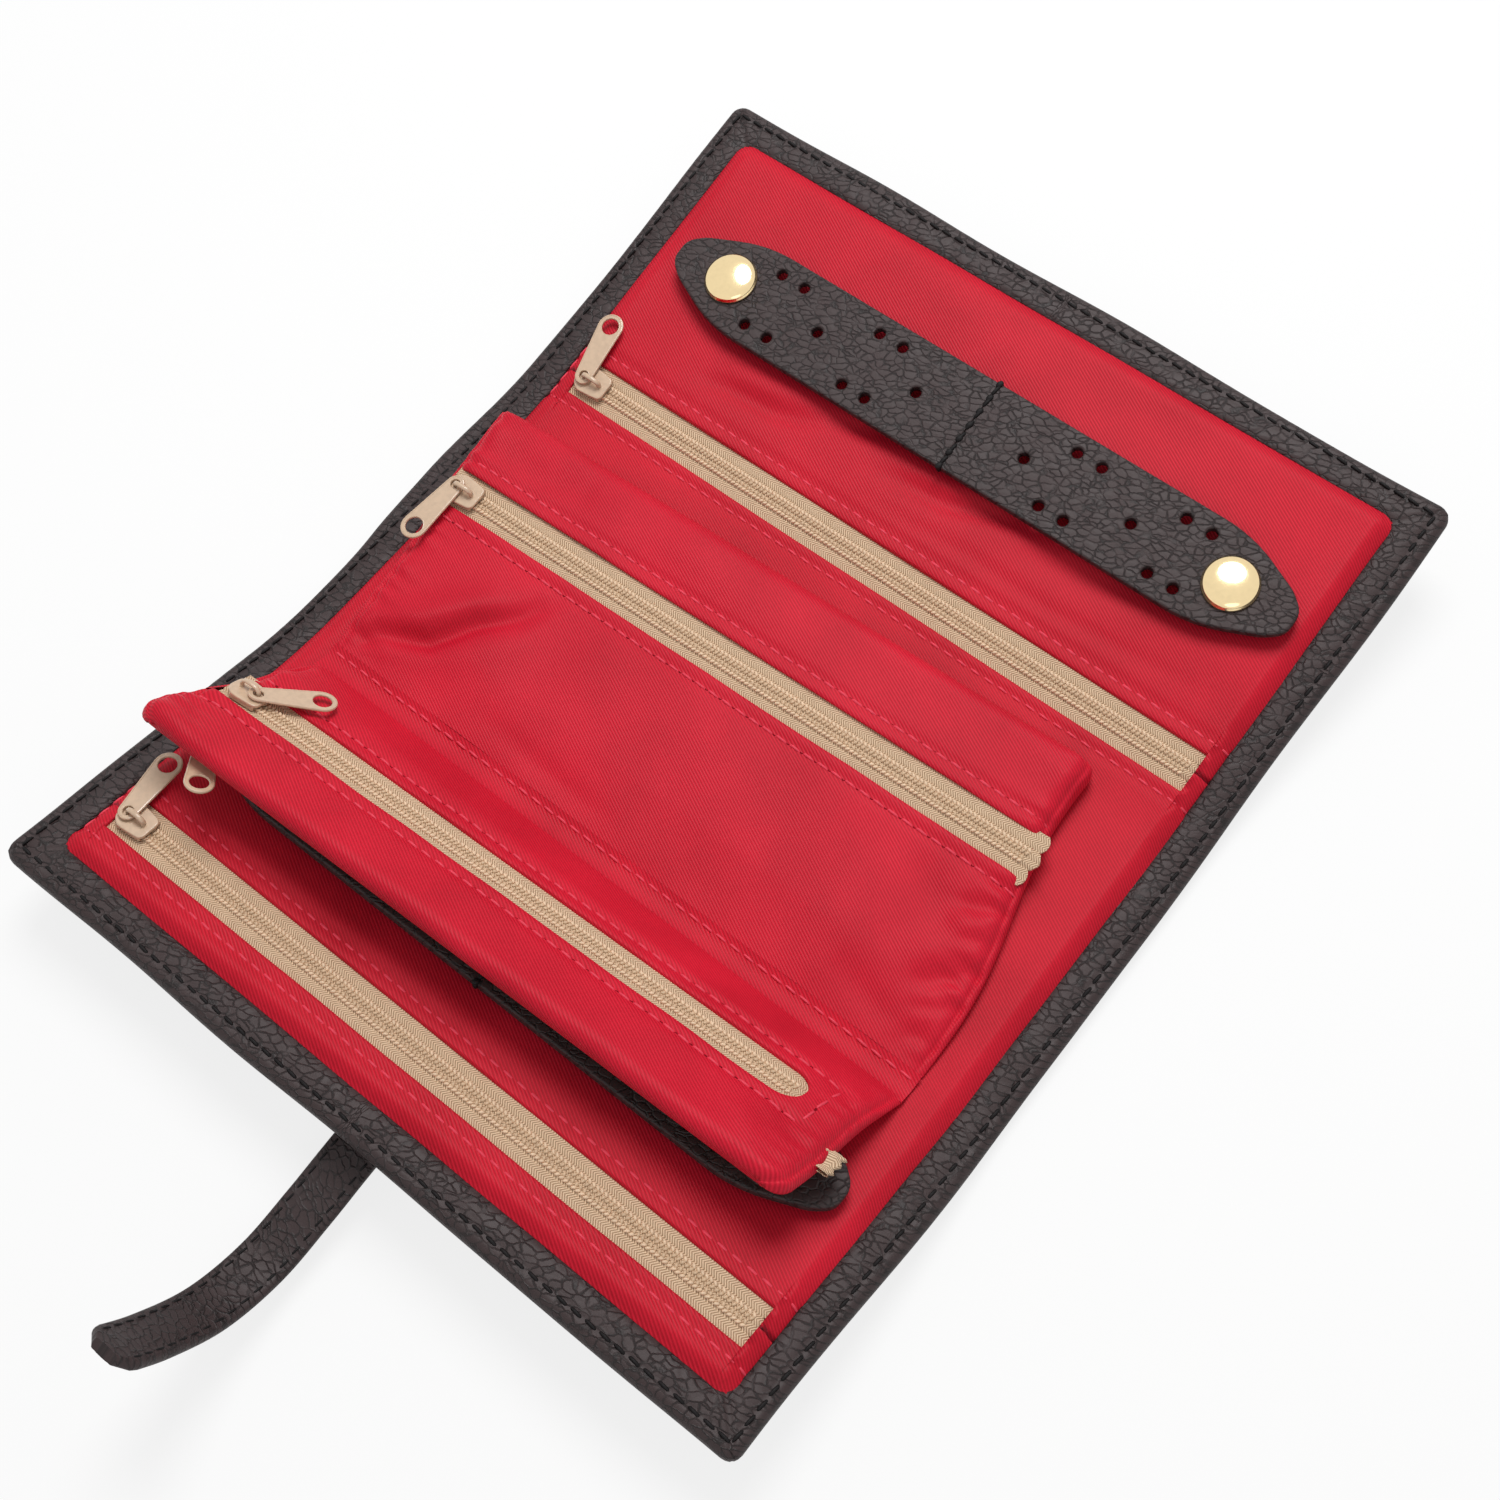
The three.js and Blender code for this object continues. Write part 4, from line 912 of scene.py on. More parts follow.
def make_pull(name, place, turn, post):
    end = PULL_LENGTH - PULL_TOP_HALF
    lean = math.degrees(math.asin((PULL_TOP_HALF - PULL_ROOT_HALF) / end))
    outline = arc(0, 0, PULL_ROOT_HALF, 90 + lean, 270 - lean, 13)
    outline += arc(end, 0, PULL_TOP_HALF, -90 - lean, 90 + lean, 19)
    eye, grip = arc(0, 0, EYE_RADIUS, 0, 340, 18), arc(end, 0, GRIP_RADIUS, 0, 345, 24)
    seat = place.matrix(post * CROWN_X, PULL_HEIGHT) @ Matrix.Rotation(math.radians(turn), 4, "Z")
    pieces = [
        flat_curve([outline, eye, grip], 0.28, 0.1, seat),
        rim([(x * 0.985 + 0.1, y * 0.93) for x, y in outline], EDGE_THICKNESS, seat),
        rim(arc(end, 0, GRIP_RIM_RADIUS, 0, 345, 24), RIM_THICKNESS, seat),
        rim(arc(0, 0, EYE_RIM_RADIUS, 0, 345, 24), RIM_THICKNESS, seat),
    ]
    made = join_meshes(name + "_pull_tab", pieces, PAINT)
    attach(made, name + "_handle")
    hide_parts(name + "_pull")


ZIPS = {
    "inner_flap_zip": dict(body="inner_flap", length=165.6, turn=100, post=-1, spare=(1.0, 0.5)),
    "outer_flap_zip": dict(body="outer_flap", length=165.6, turn=101, post=-1, spare=(1.0, 0.5)),
    "large_pouch_zip": dict(body="large_pouch", length=153.42, turn=-95, post=-1, spare=(1.0, 1.0)),
    "small_pouch_zip": dict(body="small_pouch", length=144.55, turn=45, post=1, spare=(1.0, 8.0)),
    "back_pouch_zip": dict(body="small_pouch", length=153.42, turn=50, post=1, spare=(0.0, 1.5)),
}
for name, data in ZIPS.items():
    place = zip_place(name, data["post"])
    start = -SLIDER_HALF
    stop = start + data["length"]
    before, after = data["spare"]
    zip_tapes(name, data["body"], place, start - before, stop + after, start + 0.9, stop - 0.9)
    make_slider(name, place)
    make_pull(name, place, data["turn"], data["post"])


# Pouches. u runs from the root seam to the free edge, z = 0 is the underside
POUCH_FROM, POUCH_TO = -79.5, 77.5
LEAN, SPREAD = 0.14, 0.0006
SEAM_FROM_WINDOW = 2.9


class Pouch:
    """The shape of a pouch: its section along u, its side seams, wrinkles and rows of stitches."""

    def __init__(self, length, shoulder, shoulder_height, edge_height, spread_side, direction, place, seed):
        self.length, self.shoulder = length, shoulder
        self.shoulder_height, self.edge_height = shoulder_height, edge_height
        self.spread_side, self.direction, self.place, self.seed = spread_side, direction, place, seed
        self.centre = length - edge_height / 2
        self.creases, self.seams = [], []
        self.pucker = 0.42

    def top(self, u):
        slope = (self.edge_height - self.shoulder_height) / (self.centre - self.shoulder)
        rising = 1.4 + (self.shoulder_height - 1.4) * np.clip(u / self.shoulder, 0, 1)
        return np.where(u < self.shoulder, rising, self.shoulder_height + slope * (u - self.shoulder))

    def thin(self, x):
        """The pouch closes at its side seams."""
        side = np.minimum(x - POUCH_FROM, POUCH_TO - x)
        return np.sqrt(np.clip(1 - (1 - np.clip(side / 4.5, 0, 1)) ** 2, 0, 1))

    def surface(self, x, u, z):
        """Height of the cloth over a place (x, u), where z is its height in the middle of the pouch."""
        x, u, z = np.broadcast_arrays(np.asarray(x, float), np.asarray(u, float), np.asarray(z, float))
        middle = self.top(u) * 0.3
        side = np.minimum(x - POUCH_FROM, POUCH_TO - x)
        lift = waves(x, u, 26, self.seed) * 0.2
        for path, width, height in self.creases:
            lift = lift + crease(x, u, path, width, height)
        for seam in self.seams:
            lift = lift - 0.45 * np.exp(-(((u - seam(x)) / 0.85) ** 2))
        pucker = np.sin(u * 1.2 + np.sin(u * 0.37 + self.seed) * 2.2 + x * 0.12) * self.pucker
        lift = lift + pucker * np.exp(-np.abs(side - 3) / 3.2)
        lift = lift - 0.65 * np.exp(-(((side - 1.5) / 0.5) ** 2))
        lift = lift * np.clip(u / 4, 0, 1) * smoothstep(0.05, 1.2, side) * (z > middle)
        return middle + (z - middle) * self.thin(x) + lift

    def points(self, x, u, z):
        outward = smoothstep(POUCH_TO - 15, POUCH_TO, x) * self.right(u)
        outward = outward - (1 - smoothstep(POUCH_FROM, POUCH_FROM + 15, x)) * self.left(u)
        along = self.direction * u * (1 + self.spread_side * SPREAD * x)
        return self.place.points(stack(x - LEAN * u + outward, along, z))

    def over(self, us):
        """Places (u, z) of the section's top for a run of u."""
        return [(u, float(self.top(u))) for u in us]

    def round_edge(self):
        """Places (u, z) of the section round the free edge, from the top to the underside."""
        half = self.edge_height / 2
        angles = np.radians(np.linspace(90, -90, 11))
        return [(self.centre + half * math.cos(a), half + half * math.sin(a)) for a in angles]


def corner_round(u, length, radius):
    """How far a side draws in near the free edge for a rounded corner."""
    over = np.clip(u - (length - radius), 0, radius)
    return radius - np.sqrt(radius**2 - over**2)


def pouch_sheet(form, pouch, section, xs):
    """A run of cloth round the section, closed at the side seams and wrinkled on top."""
    u, z = np.array(section).T[:, :, None]
    run = (pouch.length if section[0][1] == 0 else section[0][0]) + run_along(section)
    form.grid(pouch.points(xs, u, pouch.surface(xs, u, z)), stack(xs, pouch.direction * run[:, None]))


def turned_edge(section, index):
    """Adds a turned-in lip at one end of a section."""
    (u0, z0), (u1, z1) = (section[0], section[1]) if index == 0 else (section[-1], section[-2])
    back = 0.35 if u1 > u0 else -0.35
    lip = [(u0 - back * 0.3, z0 - 0.15), (u0 - back * 0.4, z0 - 0.45), (u0, z0 - 0.9)]
    return (lip[::-1] + section) if index == 0 else (section + lip)


SIDE_STEPS = np.array([0.03, 0.12, 0.3, 0.6, 0.9, 1.5, 1.9])
SEAM_STEPS = np.array([0, 0.03, 0.12, 0.3, 0.6, 0.9, 1.25, 1.7])
POUCH_XS = np.unique(
    np.concatenate([stations(POUCH_FROM, POUCH_TO, 1.25), POUCH_FROM + SIDE_STEPS, POUCH_TO - SIDE_STEPS])
)


def pouch_stitches(form, pouch, x, u):
    line = pouch.points(x, u, pouch.surface(x, u, pouch.top(u)) + 0.12)
    stitch_row(form, line, pouch.place.z, **RED_STITCH, hole_shade_slot=2)


def cloth_under_zip_end(form, pouch, xs, far, near):
    """The front's cloth carried along a side seam, across the window and under the end of the tapes."""
    u = far + stations(0, 1, 0.1)[:, None] * (near - far)
    height = pouch.surface(xs, u, pouch.top(u) + 0.4)
    form.grid(pouch.points(xs, u, height), stack(xs, pouch.direction * u))


def make_large_pouch():
    place = Place(joint_place("large_pouch_seam"), (1, 0, 0), (0, 0, 1))
    length = 69.5
    pouch = Pouch(
        length,
        shoulder=14,
        shoulder_height=3.4,
        edge_height=7.4,
        spread_side=1,
        direction=1,
        place=place,
        seed=31,
    )
    pouch.right = lambda u: 1.6 * np.sin(u / 11) - corner_round(u, length, 3.0)
    pouch.left = lambda u: 0.4 * np.sin(u / 7 + 1) - corner_round(u, length, 2.0)
    deep_fold = [(-76.4, -1.9), (-72.2, 7.5), (-60.9, 12.4), (-53.8, 21.7), (-46.4, 28.1), (-41.2, 35.4)]
    pouch.creases = [
        (deep_fold, 2.2, -2.3),
        ([(-76, 8), (-66, 15), (-58, 23), (-50, 31)], 4.0, 1.5),
        ([(-66, 5), (-54, 12), (-46, 20), (-39, 27)], 3.5, 0.5),
        ([(-77.4, -2.5), (-73.2, -0.2), (-66.6, 2.7)], 1.6, -0.7),
        ([(66, 31), (72, 32.5), (77, 34)], 1.5, -1.3),
        ([(66, 27), (71, 28.5), (77, 30)], 2.4, 0.9),
        ([(66, 13), (72, 18), (77, 23)], 1.9, -1.4),
        ([(-79, -4), (-73.6, -1.6), (-67.3, 2.7)], 1.5, -0.8),
        ([(70, 38), (74, 38.5), (77, 39)], 1.2, -0.8),
        ([(69, 24), (73, 26.5), (77, 28)], 1.1, -0.8),
        ([(68, 9), (73, 12), (77, 16)], 1.2, -0.8),
        ([(62, 16), (68, 22), (74, 27)], 3.0, 0.7),
        ([(68, 0.5), (73, 6.9), (77, 14.5)], 1.8, -0.6),
        ([(50, 9), (60, 6), (69, 3.5)], 3.2, -0.6),
        ([(55, 35), (66, 26), (74, 19)], 3.2, -0.5),
        ([(-44, 6), (-20, 4), (-2, 3)], 3.0, -0.5),
        ([(-50, 60), (-20, 61), (20, 59)], 5.0, 0.6),
        ([(-75, 60), (-60, 58), (-45, 62)], 3.0, -0.5),
    ]
    u = 45.7
    pouch.pucker = 0.6
    seams = (u - ZIP_HALF - SEAM_FROM_WINDOW, u + ZIP_HALF + SEAM_FROM_WINDOW)
    pouch.seams = [lambda x, at=at: at for at in seams]
    front = pouch.over(stations(0, u - ZIP_HALF, 1.0))
    strip = pouch.over(stations(u + ZIP_HALF, pouch.centre, 1.0))
    under = [(v, 0.0) for v in stations(pouch.centre, 0, 2.4)]
    form = Form()
    pouch_sheet(form, pouch, turned_edge(front, 1), POUCH_XS)
    pouch_sheet(form, pouch, turned_edge(strip, 0) + pouch.round_edge()[1:] + under[1:], POUCH_XS)
    for xs in (POUCH_FROM + SEAM_STEPS, POUCH_TO - SEAM_STEPS[::-1]):
        cloth_under_zip_end(form, pouch, xs, u - ZIP_HALF, u + ZIP_HALF)
    for distance in seams:
        pouch_stitches(form, pouch, stations(POUCH_FROM + 1, POUCH_TO - 1, 2), distance)
    made = form.make("large_pouch_cloth", [POUCH, RED_THREAD, NEEDLE_HOLE_SHADE])
    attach(made, "large_pouch")
    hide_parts("large_pouch_back", "large_pouch_front", "large_pouch_edge_strip")


NEAR_LIP = 3.75
END_SEAM_INSET = 2.5


def make_small_pouch():
    rise = math.radians(20.5) + abs(OUTER.angle)
    place = Place(joint_place("small_pouch_seam"), (1, 0, 0), (0, math.sin(rise), math.cos(rise)))
    length = 41
    pouch = Pouch(
        length,
        shoulder=10,
        shoulder_height=4.5,
        edge_height=5.2,
        spread_side=-1,
        direction=-1,
        place=place,
        seed=32,
    )
    pouch.right = lambda u: 0.03 * u + 1.5 * smoothstep(12, 34, u) - corner_round(u, length, 4.0)
    pouch.left = lambda u: 3.0 * smoothstep(16, 36, u) - corner_round(u, length, 4.5)
    pouch.creases = [
        ([(-79, 27), (-74, 31), (-69, 37)], 2.0, -0.9),
        ([(-79, 35), (-74, 37), (-70, 41)], 2.4, 0.6),
        ([(-78, 14), (-72, 16), (-66, 15)], 2.0, -0.5),
        ([(66, 8), (71, 12), (76, 14)], 1.6, -0.7),
        ([(66, 24), (70, 28), (75, 30)], 2.0, -0.8),
        ([(60, 29), (66, 34), (70, 39)], 2.4, 0.5),
    ]
    u, back_u = 20.3, 32.5
    end_x = 64.0
    end_seam_x = end_x + LEAN * u
    turn = math.tan(math.radians(2.2))
    sides = ((-1, ZIP_HALF), (1, NEAR_LIP))

    def edge_u(x, part, lip):
        """The edge of the front zip's window, which runs at a slight slant."""
        return (u - turn * (x - LEAN * u)) / (1 - SPREAD * x) + part * lip

    seam_us = [lambda x, part=part, lip=lip: edge_u(x, part, lip + SEAM_FROM_WINDOW) for part, lip in sides]
    pouch.seams = seam_us
    form = Form()
    xs = np.unique(np.concatenate([POUCH_XS, end_seam_x - np.array([0, 0.1, 0.4, 1, 1.8, 2.8, 4.2])]))
    near = np.clip((end_x - (xs - LEAN * u)) / ZIP_HALF, 0, 2)
    share = np.sqrt(np.clip(1 - np.clip(1 - near, 0, 1) ** 2, 0, 1))
    inside = share > 0
    for (part, lip), outer in zip(sides, (0.0, pouch.centre)):
        edge = edge_u(xs, part, share * lip)
        span = edge + part * 0.3 * inside - outer
        rows = [(outer + t * span, 0 * xs) for t in stations(0, 1, 1.0 / abs(outer - u))]
        for away, drop in ((0.1, 0.15), (0.0, 0.45), (0.0, 0.95)):
            rows.append((edge + part * away * inside, -drop * np.clip(share * lip / 0.8, 0, 1)))
        rows = rows[::-part]
        points = [pouch.points(xs, run, pouch.surface(xs, run, pouch.top(run)) + drop) for run, drop in rows]
        form.grid(points, [stack(xs, -run + drop) for run, drop in rows])
    seam_xs = POUCH_FROM + SEAM_STEPS
    cloth_under_zip_end(form, pouch, seam_xs, *(edge_u(seam_xs, part, lip) for part, lip in sides))
    under_far = [(v, 0.0) for v in stations(pouch.centre, back_u + ZIP_HALF, 0.8)]
    under_near = [(v, 0.0) for v in stations(back_u - ZIP_HALF, 0, 1.3)]
    pouch_sheet(form, pouch, pouch.round_edge() + under_far[1:] + [(back_u + ZIP_HALF, 0.9)], xs)
    pouch_sheet(form, pouch, [(back_u - ZIP_HALF, 0.9)] + under_near, xs)
    x = stations(POUCH_FROM + 2, end_seam_x + 3, 2)
    for seam_u in seam_us:
        pouch_stitches(form, pouch, x, seam_u(x))
    x = end_seam_x + 3.4
    ends = [edge_u(x, part, lip + END_SEAM_INSET) for part, lip in sides]
    pouch_stitches(form, pouch, x, np.linspace(*ends, 6))
    made = form.make("small_pouch_cloth", [POUCH, RED_THREAD, NEEDLE_HOLE_SHADE], merge=0.002)
    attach(made, "small_pouch")
    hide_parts("small_pouch_back", "small_pouch_front")
    tape_end(pouch)


def tape_end(pouch):
    """The folded end of the rear zip's tape, standing out of the pouch's side seam."""
    form = Form()
    us = np.linspace(23.6, 30.2, 15)
    scallop = 1 + 0.16 * np.sin(us * 2.7)
    section = ((-2.0, 0.45), (0.9, 0.5), (2.0, 0.42), (2.45, 0.0), (2.0, -0.4), (0.9, -0.45), (-2.0, -0.45))
    height = 2.4 + 0.35 * np.sin(us * 1.3)
    rows = [pouch.points(POUCH_TO + out * scallop, us, height + rise) for out, rise in section]
    form.grid(rows, np.stack(np.meshgrid(us, np.arange(7.0)), axis=-1))
    made = form.make("small_pouch_tape_end", [TAPE])
    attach(made, "small_pouch")


make_large_pouch()
make_small_pouch()


# Cloth in the valley between the two pouches, sewn down along its middle
VALLEY_RISE, VALLEY_FAR_RISE, VALLEY_DIP = 1.4, 1.2, 0.9


def make_valley():
    form = Form()
    near, far = (np.array(joint_place(name))[1:] for name in ("large_pouch_seam", "small_pouch_seam"))
    t = np.linspace(0, 1, 9)[:, None]
    y = near[0] + (far[0] - near[0]) * t
    z = near[1] + VALLEY_RISE + (far[1] + VALLEY_FAR_RISE - near[1] - VALLEY_RISE) * t
    z = z - VALLEY_DIP * np.sin(math.pi * t)
    form.grid(stack(POUCH_XS, y, z + waves(POUCH_XS, y, 24, 5) * 0.1), stack(POUCH_XS, y))
    x = stations(POUCH_FROM + 1, POUCH_TO - 1, 2)
    stitch_row(form, stack(x, near[0] - 1.6, near[1] + 1.02), (0, 0, 1), **RED_STITCH)
    made = form.make("pouch_valley", [POUCH, RED_THREAD])
    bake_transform(made)


make_valley()


# Earring straps. Local x runs along the strap and y across, z = 0 is the underside of the leather
STRAP_HALF_LENGTH = 81
STRAP_HALF_WIDTH = 11.5
STRAP_THICKNESS = 2.2
SNAP_X = 66
HOLE_RADIUS = 1.25
PAIRED_HOLES = (0.86, 0.765, 0.445, 0.35)
SINGLE_HOLES = (0.629, 0.217)


def strap_holes():
    row = STRAP_HALF_WIDTH * 0.62
    paired = [(along * SNAP_X, y) for y in (-row, row) for along in PAIRED_HOLES]
    return paired + [(along * SNAP_X, 0) for along in SINGLE_HOLES]


def strap_outline(side):
    """Half of a strap, from x = 0 to its tip, with a larger radius where it starts to narrow."""
    w, tip = STRAP_HALF_WIDTH, STRAP_HALF_LENGTH
    lower = [(0.0, -w), (tip - 17, -w), (tip - 3.4, -5.6), (tip, -2.6)]
    points = lower + [(x, -y) for x, y in reversed(lower)]
    curves = []
    for i in range(1, len(points) - 1):
        curves += corner_curve(*points[i - 1 : i + 2], 7.0 if i in (1, 6) else 1.9, 7)
    steps = stations(0.0, tip - 24, 3.0)[1:-1]
    outline = [(0.0, -w)] + [(x, -w) for x in steps] + curves + [(x, w) for x in steps[::-1]] + [(0.0, w)]
    return [(side * x, y) for x, y in outline]


def make_strap(name, place, sides, ride_with):
    seat = place.matrix(z=STRAP_THICKNESS / 2)
    pieces = []
    for side in sides:
        holes = [arc(side * x, y, HOLE_RADIUS, 0, 342, 20) for x, y in strap_holes()]
        pieces.append(flat_curve([strap_outline(side)] + holes, STRAP_THICKNESS / 2, 0.5, seat))
    made = join_meshes(name + "_hide", pieces, LEATHER)
    uv = made.data.uv_layers.new(name="flat")
    for loop in made.data.loops:
        co = made.data.vertices[loop.vertex_index].co
        uv.data[loop.index].uv = (co.x, co.y + co.z * 0.5)
    ride_with(made)
    return made


def strap_place(fold, distance, x):
    y, z = fold.open_point(fold.y + fold.side * distance, 8.9)
    return Place((x, y, z), (1, 0, 0), (0, -math.sin(fold.angle), math.cos(fold.angle)))


INNER_STRAP_X = 1.5
inner_strap_place = strap_place(INNER, 46.3, INNER_STRAP_X)
outer_strap_place = strap_place(OUTER, 25.1, 0)
for word, side in (("left", -1), ("right", 1)):
    strap = make_strap(
        f"inner_strap_{word}",
        inner_strap_place,
        [side],
        lambda piece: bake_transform(piece),
    )
    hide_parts(f"inner_strap_{word}")
outer_strap = make_strap(
    "outer_strap", outer_strap_place, [-1, 1], lambda piece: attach(piece, "outer_flap")
)
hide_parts("outer_strap_left", "outer_strap_right")


def strap_seam(name, place, body):
    form = Form()
    half = STRAP_HALF_WIDTH - 0.3
    line = place.points([(0.2, v, STRAP_THICKNESS + 0.1) for v in np.linspace(-half, half, 12)])
    stitch_row(form, line, place.z, **STRAP_STITCH)
    for v in np.linspace(-half, half, 7):
        bead(form, place, (0.1, v, STRAP_THICKNESS + 0.05), 0.3, (0.95, 0.72, 0.5), 0, rings=6, sides=10)
    for side in (-1, 1):
        v = side * (STRAP_HALF_WIDTH + 0.1)
        ends = place.points([(0.15, v, STRAP_THICKNESS + 0.2), (0.15, v, 0.3)])
        stitch(form, ends[0], ends[1], 0.6, 0, np.array(place.y) * side)
    made = form.make(name, [BLACK_THREAD])
    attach(made, body)


strap_seam("inner_strap_seam", inner_strap_place, "inner_flap")
strap_seam("outer_strap_seam", outer_strap_place, "outer_flap")


# Snap caps: a shallow dome with a rolled rim, as (radius, height) from the rim to the middle
CAP_RADIUS, CAP_WALL, CAP_RISE, CAP_SIDES = 5.8, 0.72, 1.45, 48
CAP_RIM = [(6.0, 0.0), (6.12, 0.25), (6.05, 0.5), (CAP_RADIUS, CAP_WALL)]


def make_cap(name, place, x, body, node):
    form = Form()
    rising = np.radians(np.linspace(8, 86, 12))
    dome = [(CAP_RADIUS * math.cos(a), CAP_WALL + CAP_RISE * math.sin(a)) for a in rising]
    radius, height = np.array(CAP_RIM + dome + [(0.001, CAP_WALL + CAP_RISE)]).T[:, :, None]
    angles = np.linspace(0, math.tau, CAP_SIDES, endpoint=False)
    rows = stack(x + radius * np.cos(angles), radius * np.sin(angles), STRAP_THICKNESS + 0.15 + height)
    form.grid(place.points(rows), rows[:, :, :2], closed=True)
    made = form.make(name, [BRASS])
    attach(made, body)
    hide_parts(node)


for word, side in (("left", -1), ("right", 1)):
    for strap, place, body in (
        ("inner", inner_strap_place, f"inner_strap_{word}_half"),
        ("outer", outer_strap_place, "outer_flap"),
    ):
        make_cap(f"{strap}_cap_{word}", place, side * SNAP_X, body, f"{strap}_strap_cap_{word}")


# Closing strap along the same route as in the frame, in two runs that meet where the route is split
CLOSING_ROUTE = [
    (-74.0, 4.9), (-86.2, 7.7), (-100, 8.8), (-118.7, 8.1), (-132.4, 6.6), (-145.5, 6.4), (-157.5, 12.4),
    (-166.3, 24.6), (-172, 37),
]
CLOSING_SPLIT = 118.7
CLOSING_HALF_WIDTH = 5.5
CLOSING_HALF_THICKNESS = 1.1
CLOSING_STITCH_INSET = 1.6
CLOSING_TIP = 3.0


def spline_through(points, count):
    """Catmull-Rom points through the route."""
    p = np.array(points)
    p = np.vstack([2 * p[0] - p[1], p, 2 * p[-1] - p[-2]])
    out = []
    for before, first, second, after in zip(p, p[1:], p[2:], p[3:]):
        for t in np.linspace(0, 1, count, endpoint=False):
            square = (2 * before - 5 * first + 4 * second - after) * t**2
            cube = (3 * first - before - 3 * second + after) * t**3
            out.append(0.5 * (2 * first + (second - before) * t + square + cube))
    return np.array(out + [p[-2]])


def closing_section():
    """The strap's section (x, height) all round, slightly domed and with soft edges."""
    w, t = CLOSING_HALF_WIDTH, CLOSING_HALF_THICKNESS
    section = [(-w, 0), (-w + 0.15, 0.6 * t), (-w + 0.5, 0.92 * t), (-w + 1.2, t), (-w + 2, t * 0.98)]
    section += [(-w + 3.4, 1.05 * t), (0, 1.08 * t)]
    section += [(-x, z) for x, z in reversed(section[:-1])]
    section += [(x, -z) for x, z in reversed(section[1:-1])]
    return np.array(section).T


def make_closing_strap():
    route = spline_through(CLOSING_ROUTE, 10)
    run = run_along(route)
    tangent = np.gradient(route, axis=0)
    tangent /= np.linalg.norm(tangent, axis=1)[:, None]
    normal = np.stack([tangent[:, 1], -tangent[:, 0]], axis=1)
    across, height = closing_section()
    last = len(route) - 1
    split = int(np.argmin(np.abs(route[:, 0] + CLOSING_SPLIT)))
    for name, low, high, parent, child, bend_y in (
        ("closing_strap_near", 0, split, "outer_flap", "closing_strap_length", -85.6),
        ("closing_strap_far", split, last, "closing_strap_length", "closing_strap_tip", -145.5),
    ):
        form = Form()
        part = slice(low, high + 1)
        (y, z), (ny, nz) = route[part].T, normal[part].T
        left = run[-1] - run[part]
        shrink = 1 - (1 - np.minimum(left / CLOSING_TIP, 1)) * 0.5
        x = across * shrink[:, None]
        rows = stack(x, y[:, None] + ny[:, None] * height, z[:, None] + nz[:, None] * height)
        form.grid(rows, stack(x + height, run[part][:, None]), closed=True)
        for i, ring in ((low, rows[0]), (high, rows[-1])):
            if i in (0, last):
                flat = [(p[0], run[i] + p[2] * 0.1) for p in ring]
                form.add(ring.tolist(), [tuple(range(len(ring)))], 0, flat)
        keep = (left > CLOSING_TIP - 0.5) | (high < last)
        stitch_x = CLOSING_HALF_WIDTH - CLOSING_STITCH_INSET
        for side in (-stitch_x, stitch_x):
            for face in (-CLOSING_HALF_THICKNESS, CLOSING_HALF_THICKNESS):
                line = stack(side, y + ny * face, z + nz * face)
                stitch_row(form, line[keep], stack(0.0, ny * face, nz * face)[keep], **CLOSING_STITCH)
        made = form.make(name, [LEATHER, BLACK_THREAD])
        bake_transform(made)
        if parent == "outer_flap":
            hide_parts("closing_strap_root", "closing_strap")
        else:
            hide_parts("closing_strap", "closing_strap_end", "closing_magnet")


make_closing_strap()


# Pocket bags hang under the flap zips, as shallow trays of cloth
def make_pocket(flap, fold, depth):
    form = Form()
    near, far, half = 0.65, depth, 84.4
    x, d = np.meshgrid(stations(-half, half, 4), stations(near, far, 4))
    edge = np.minimum.reduce([half - np.abs(x), d - near, far - d])
    height = 2.9 + 1.4 * (1 - smoothstep(0, 3, edge)) + waves(x, d, 20, 8) * 0.1
    form.grid(stack(x, *fold.open_point(fold.y + fold.side * d, height)), stack(x, d))
    made = form.make(flap + "_pocket_bag", [POCKET])
    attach(made, flap)
    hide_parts(flap + "_pocket")


make_pocket("inner_flap", INNER, 62)
make_pocket("outer_flap", OUTER, 60)


# Padding under the base lining
PADDING_INSET = 11


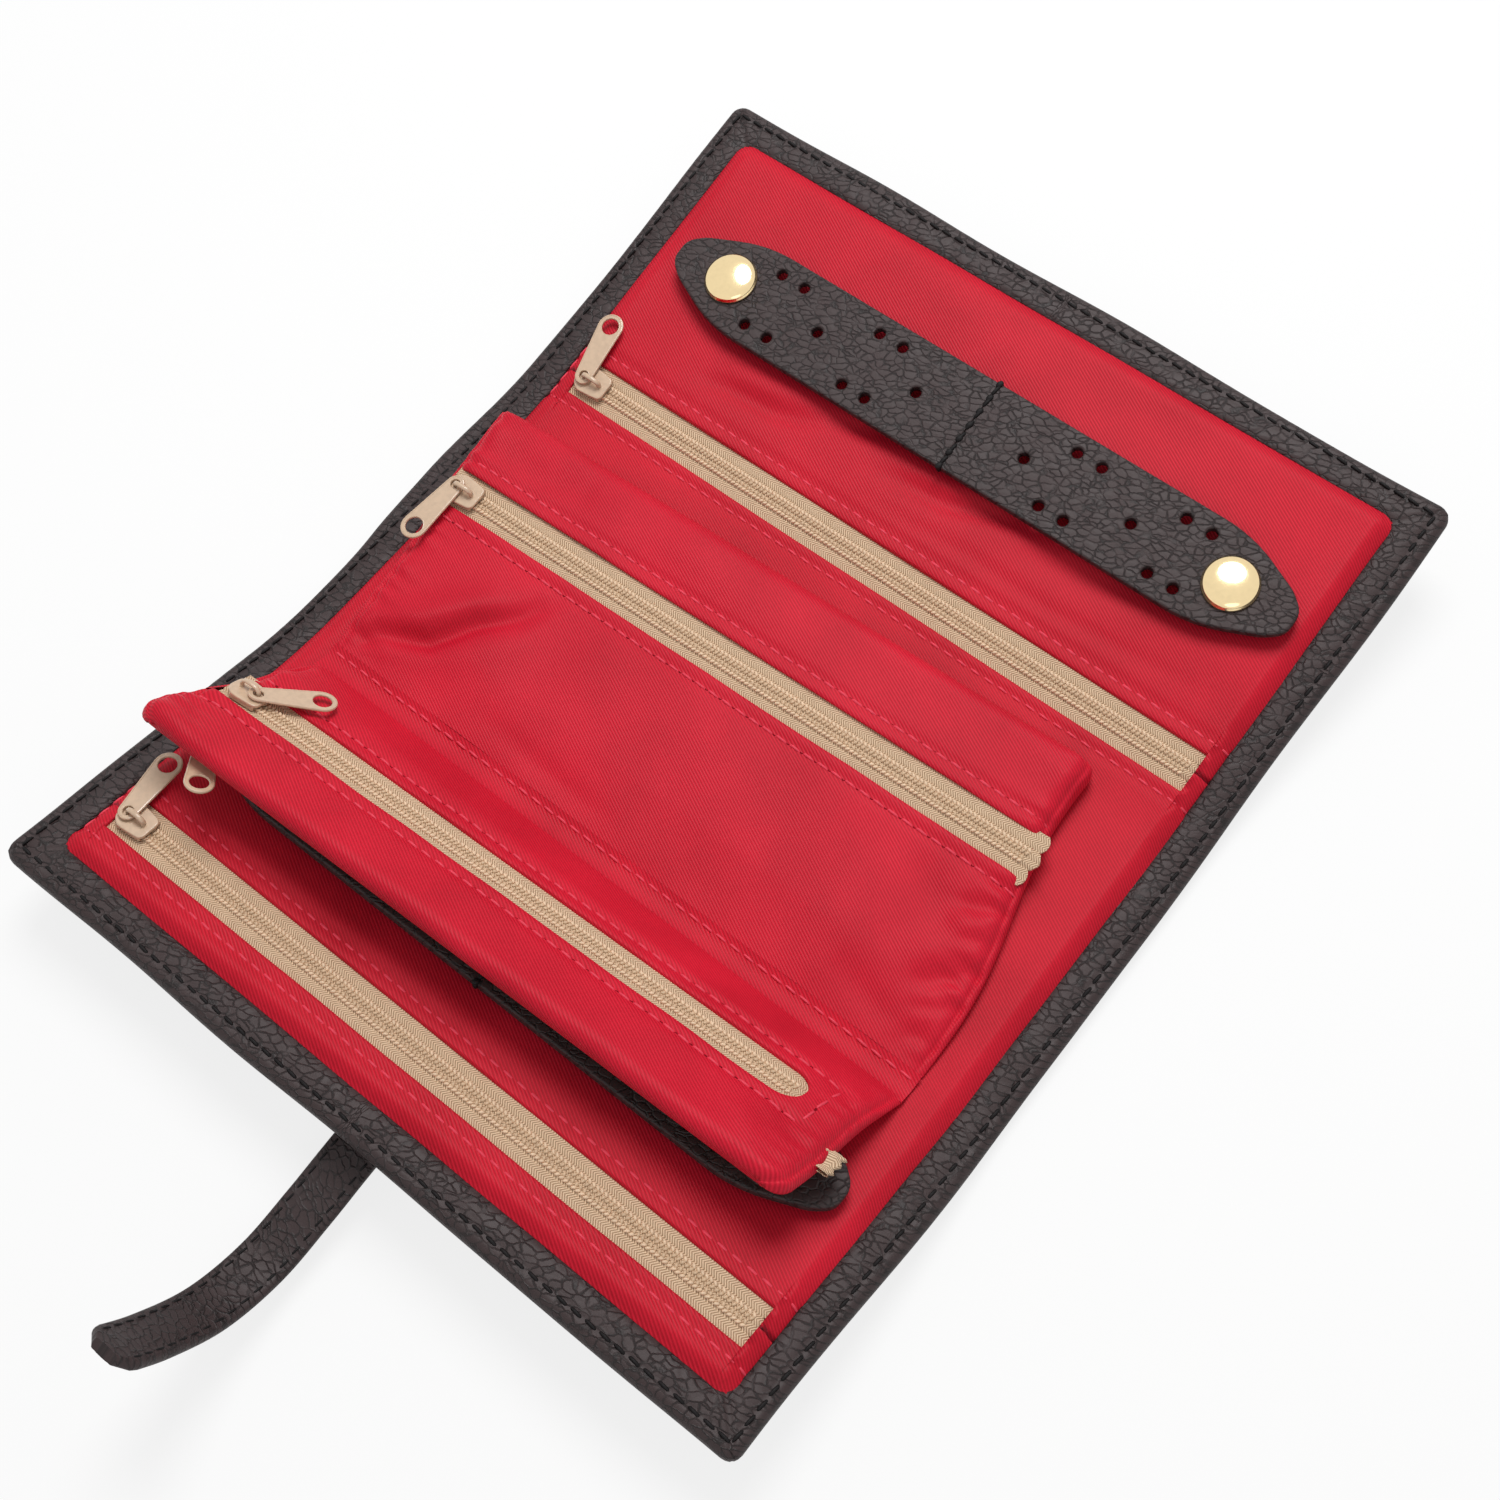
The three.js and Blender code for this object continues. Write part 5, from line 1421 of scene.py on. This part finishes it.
def make_padding():
    form = Form()
    low, high = (np.array(corner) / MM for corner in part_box("base_foam"))
    low[1], high[1] = low[1] + PADDING_INSET, high[1] - PADDING_INSET
    x, y = np.meshgrid(*(stations(low[i], high[i], 4) for i in (0, 1)))
    edge = np.minimum.reduce([x - low[0], high[0] - x, y - low[1], high[1] - y])
    swell = np.sqrt(np.clip(1 - (1 - np.clip(edge / 4, 0, 1)) ** 2, 0, 1))
    middle = (low[2] + high[2]) / 2
    for part in (1, -1):
        z = middle + part * (high[2] - low[2]) / 2 * (0.4 + 0.6 * swell)
        form.grid(stack(x, y, z)[::part], stack(x, y)[::part])
    made = form.make("base_padding", [FOAM])
    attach(made, "base")
    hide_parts("base_foam")


make_padding()


# Materials of the CAD pieces that stay
KEPT = {"_board": BOARD, "closing_plate": STEEL, "_socket_": STEEL, "_stud_": STEEL}
for name, node in frame["nodes"].items():
    for key, material in KEPT.items():
        if key in name:
            node.data.materials.clear()
            node.data.materials.append(material)


# Floor, world and lamps
FLOOR_HALF = 3.0
WHITE = (1, 1, 1, 1)
WORLD_STRENGTH = 0.4


def make_stage():
    s = Shader("floor", 0.9, specular=0.0)
    s.set(Base_Color=(0.9, 0.9, 0.9, 1))
    white = s.node("Emission", Strength=1.0)
    distance = s.node("VectorMath", {"operation": "LENGTH"}, Vector=s.coordinates("Object"))
    away = s.times(s.minus(distance.outputs["Value"], 0.4), 1.6, clamp=True)
    share = s.times(s.seen(), s.plus(s.times(away, 0.2), 0.8))
    s.show_mixed("Material Output", share, s.surface, white)
    corners = [(x * FLOOR_HALF, y * FLOOR_HALF, 0) for x, y in ((-1, -1), (1, -1), (1, 1), (-1, 1))]
    floor = add_object("floor", smooth_mesh("floor", corners, [(0, 1, 2, 3)], [s.material], [0]))
    floor.location = (0, 0, -0.0003)

    world = bpy.data.worlds.new("world")
    bpy.context.scene.world = world
    world.use_nodes = True
    sky = Graph(world.node_tree)
    background = sky.nodes["Background"]
    sky.fill(background.inputs, {"Color": WHITE, "Strength": WORLD_STRENGTH})
    sky.show_mixed("World Output", sky.seen(), background, sky.node("Background", Color=WHITE, Strength=1.0))


def area_light(name, place, size, power):
    data = bpy.data.lights.new(name, "AREA")
    data.shape = "DISK"
    data.size = size
    data.energy = power
    lamp = add_object(name, data)
    lamp.location = place
    lamp.rotation_mode = "QUATERNION"
    lamp.rotation_quaternion = (-Vector(place)).to_track_quat("-Z", "Y")


make_stage()
area_light("key", (-0.15, 0.33, 0.78), 0.45, 5.2)
area_light("fill", (0.5, -0.6, 0.8), 0.6, 0.8)
bpy.context.scene.view_settings.view_transform = "Standard"
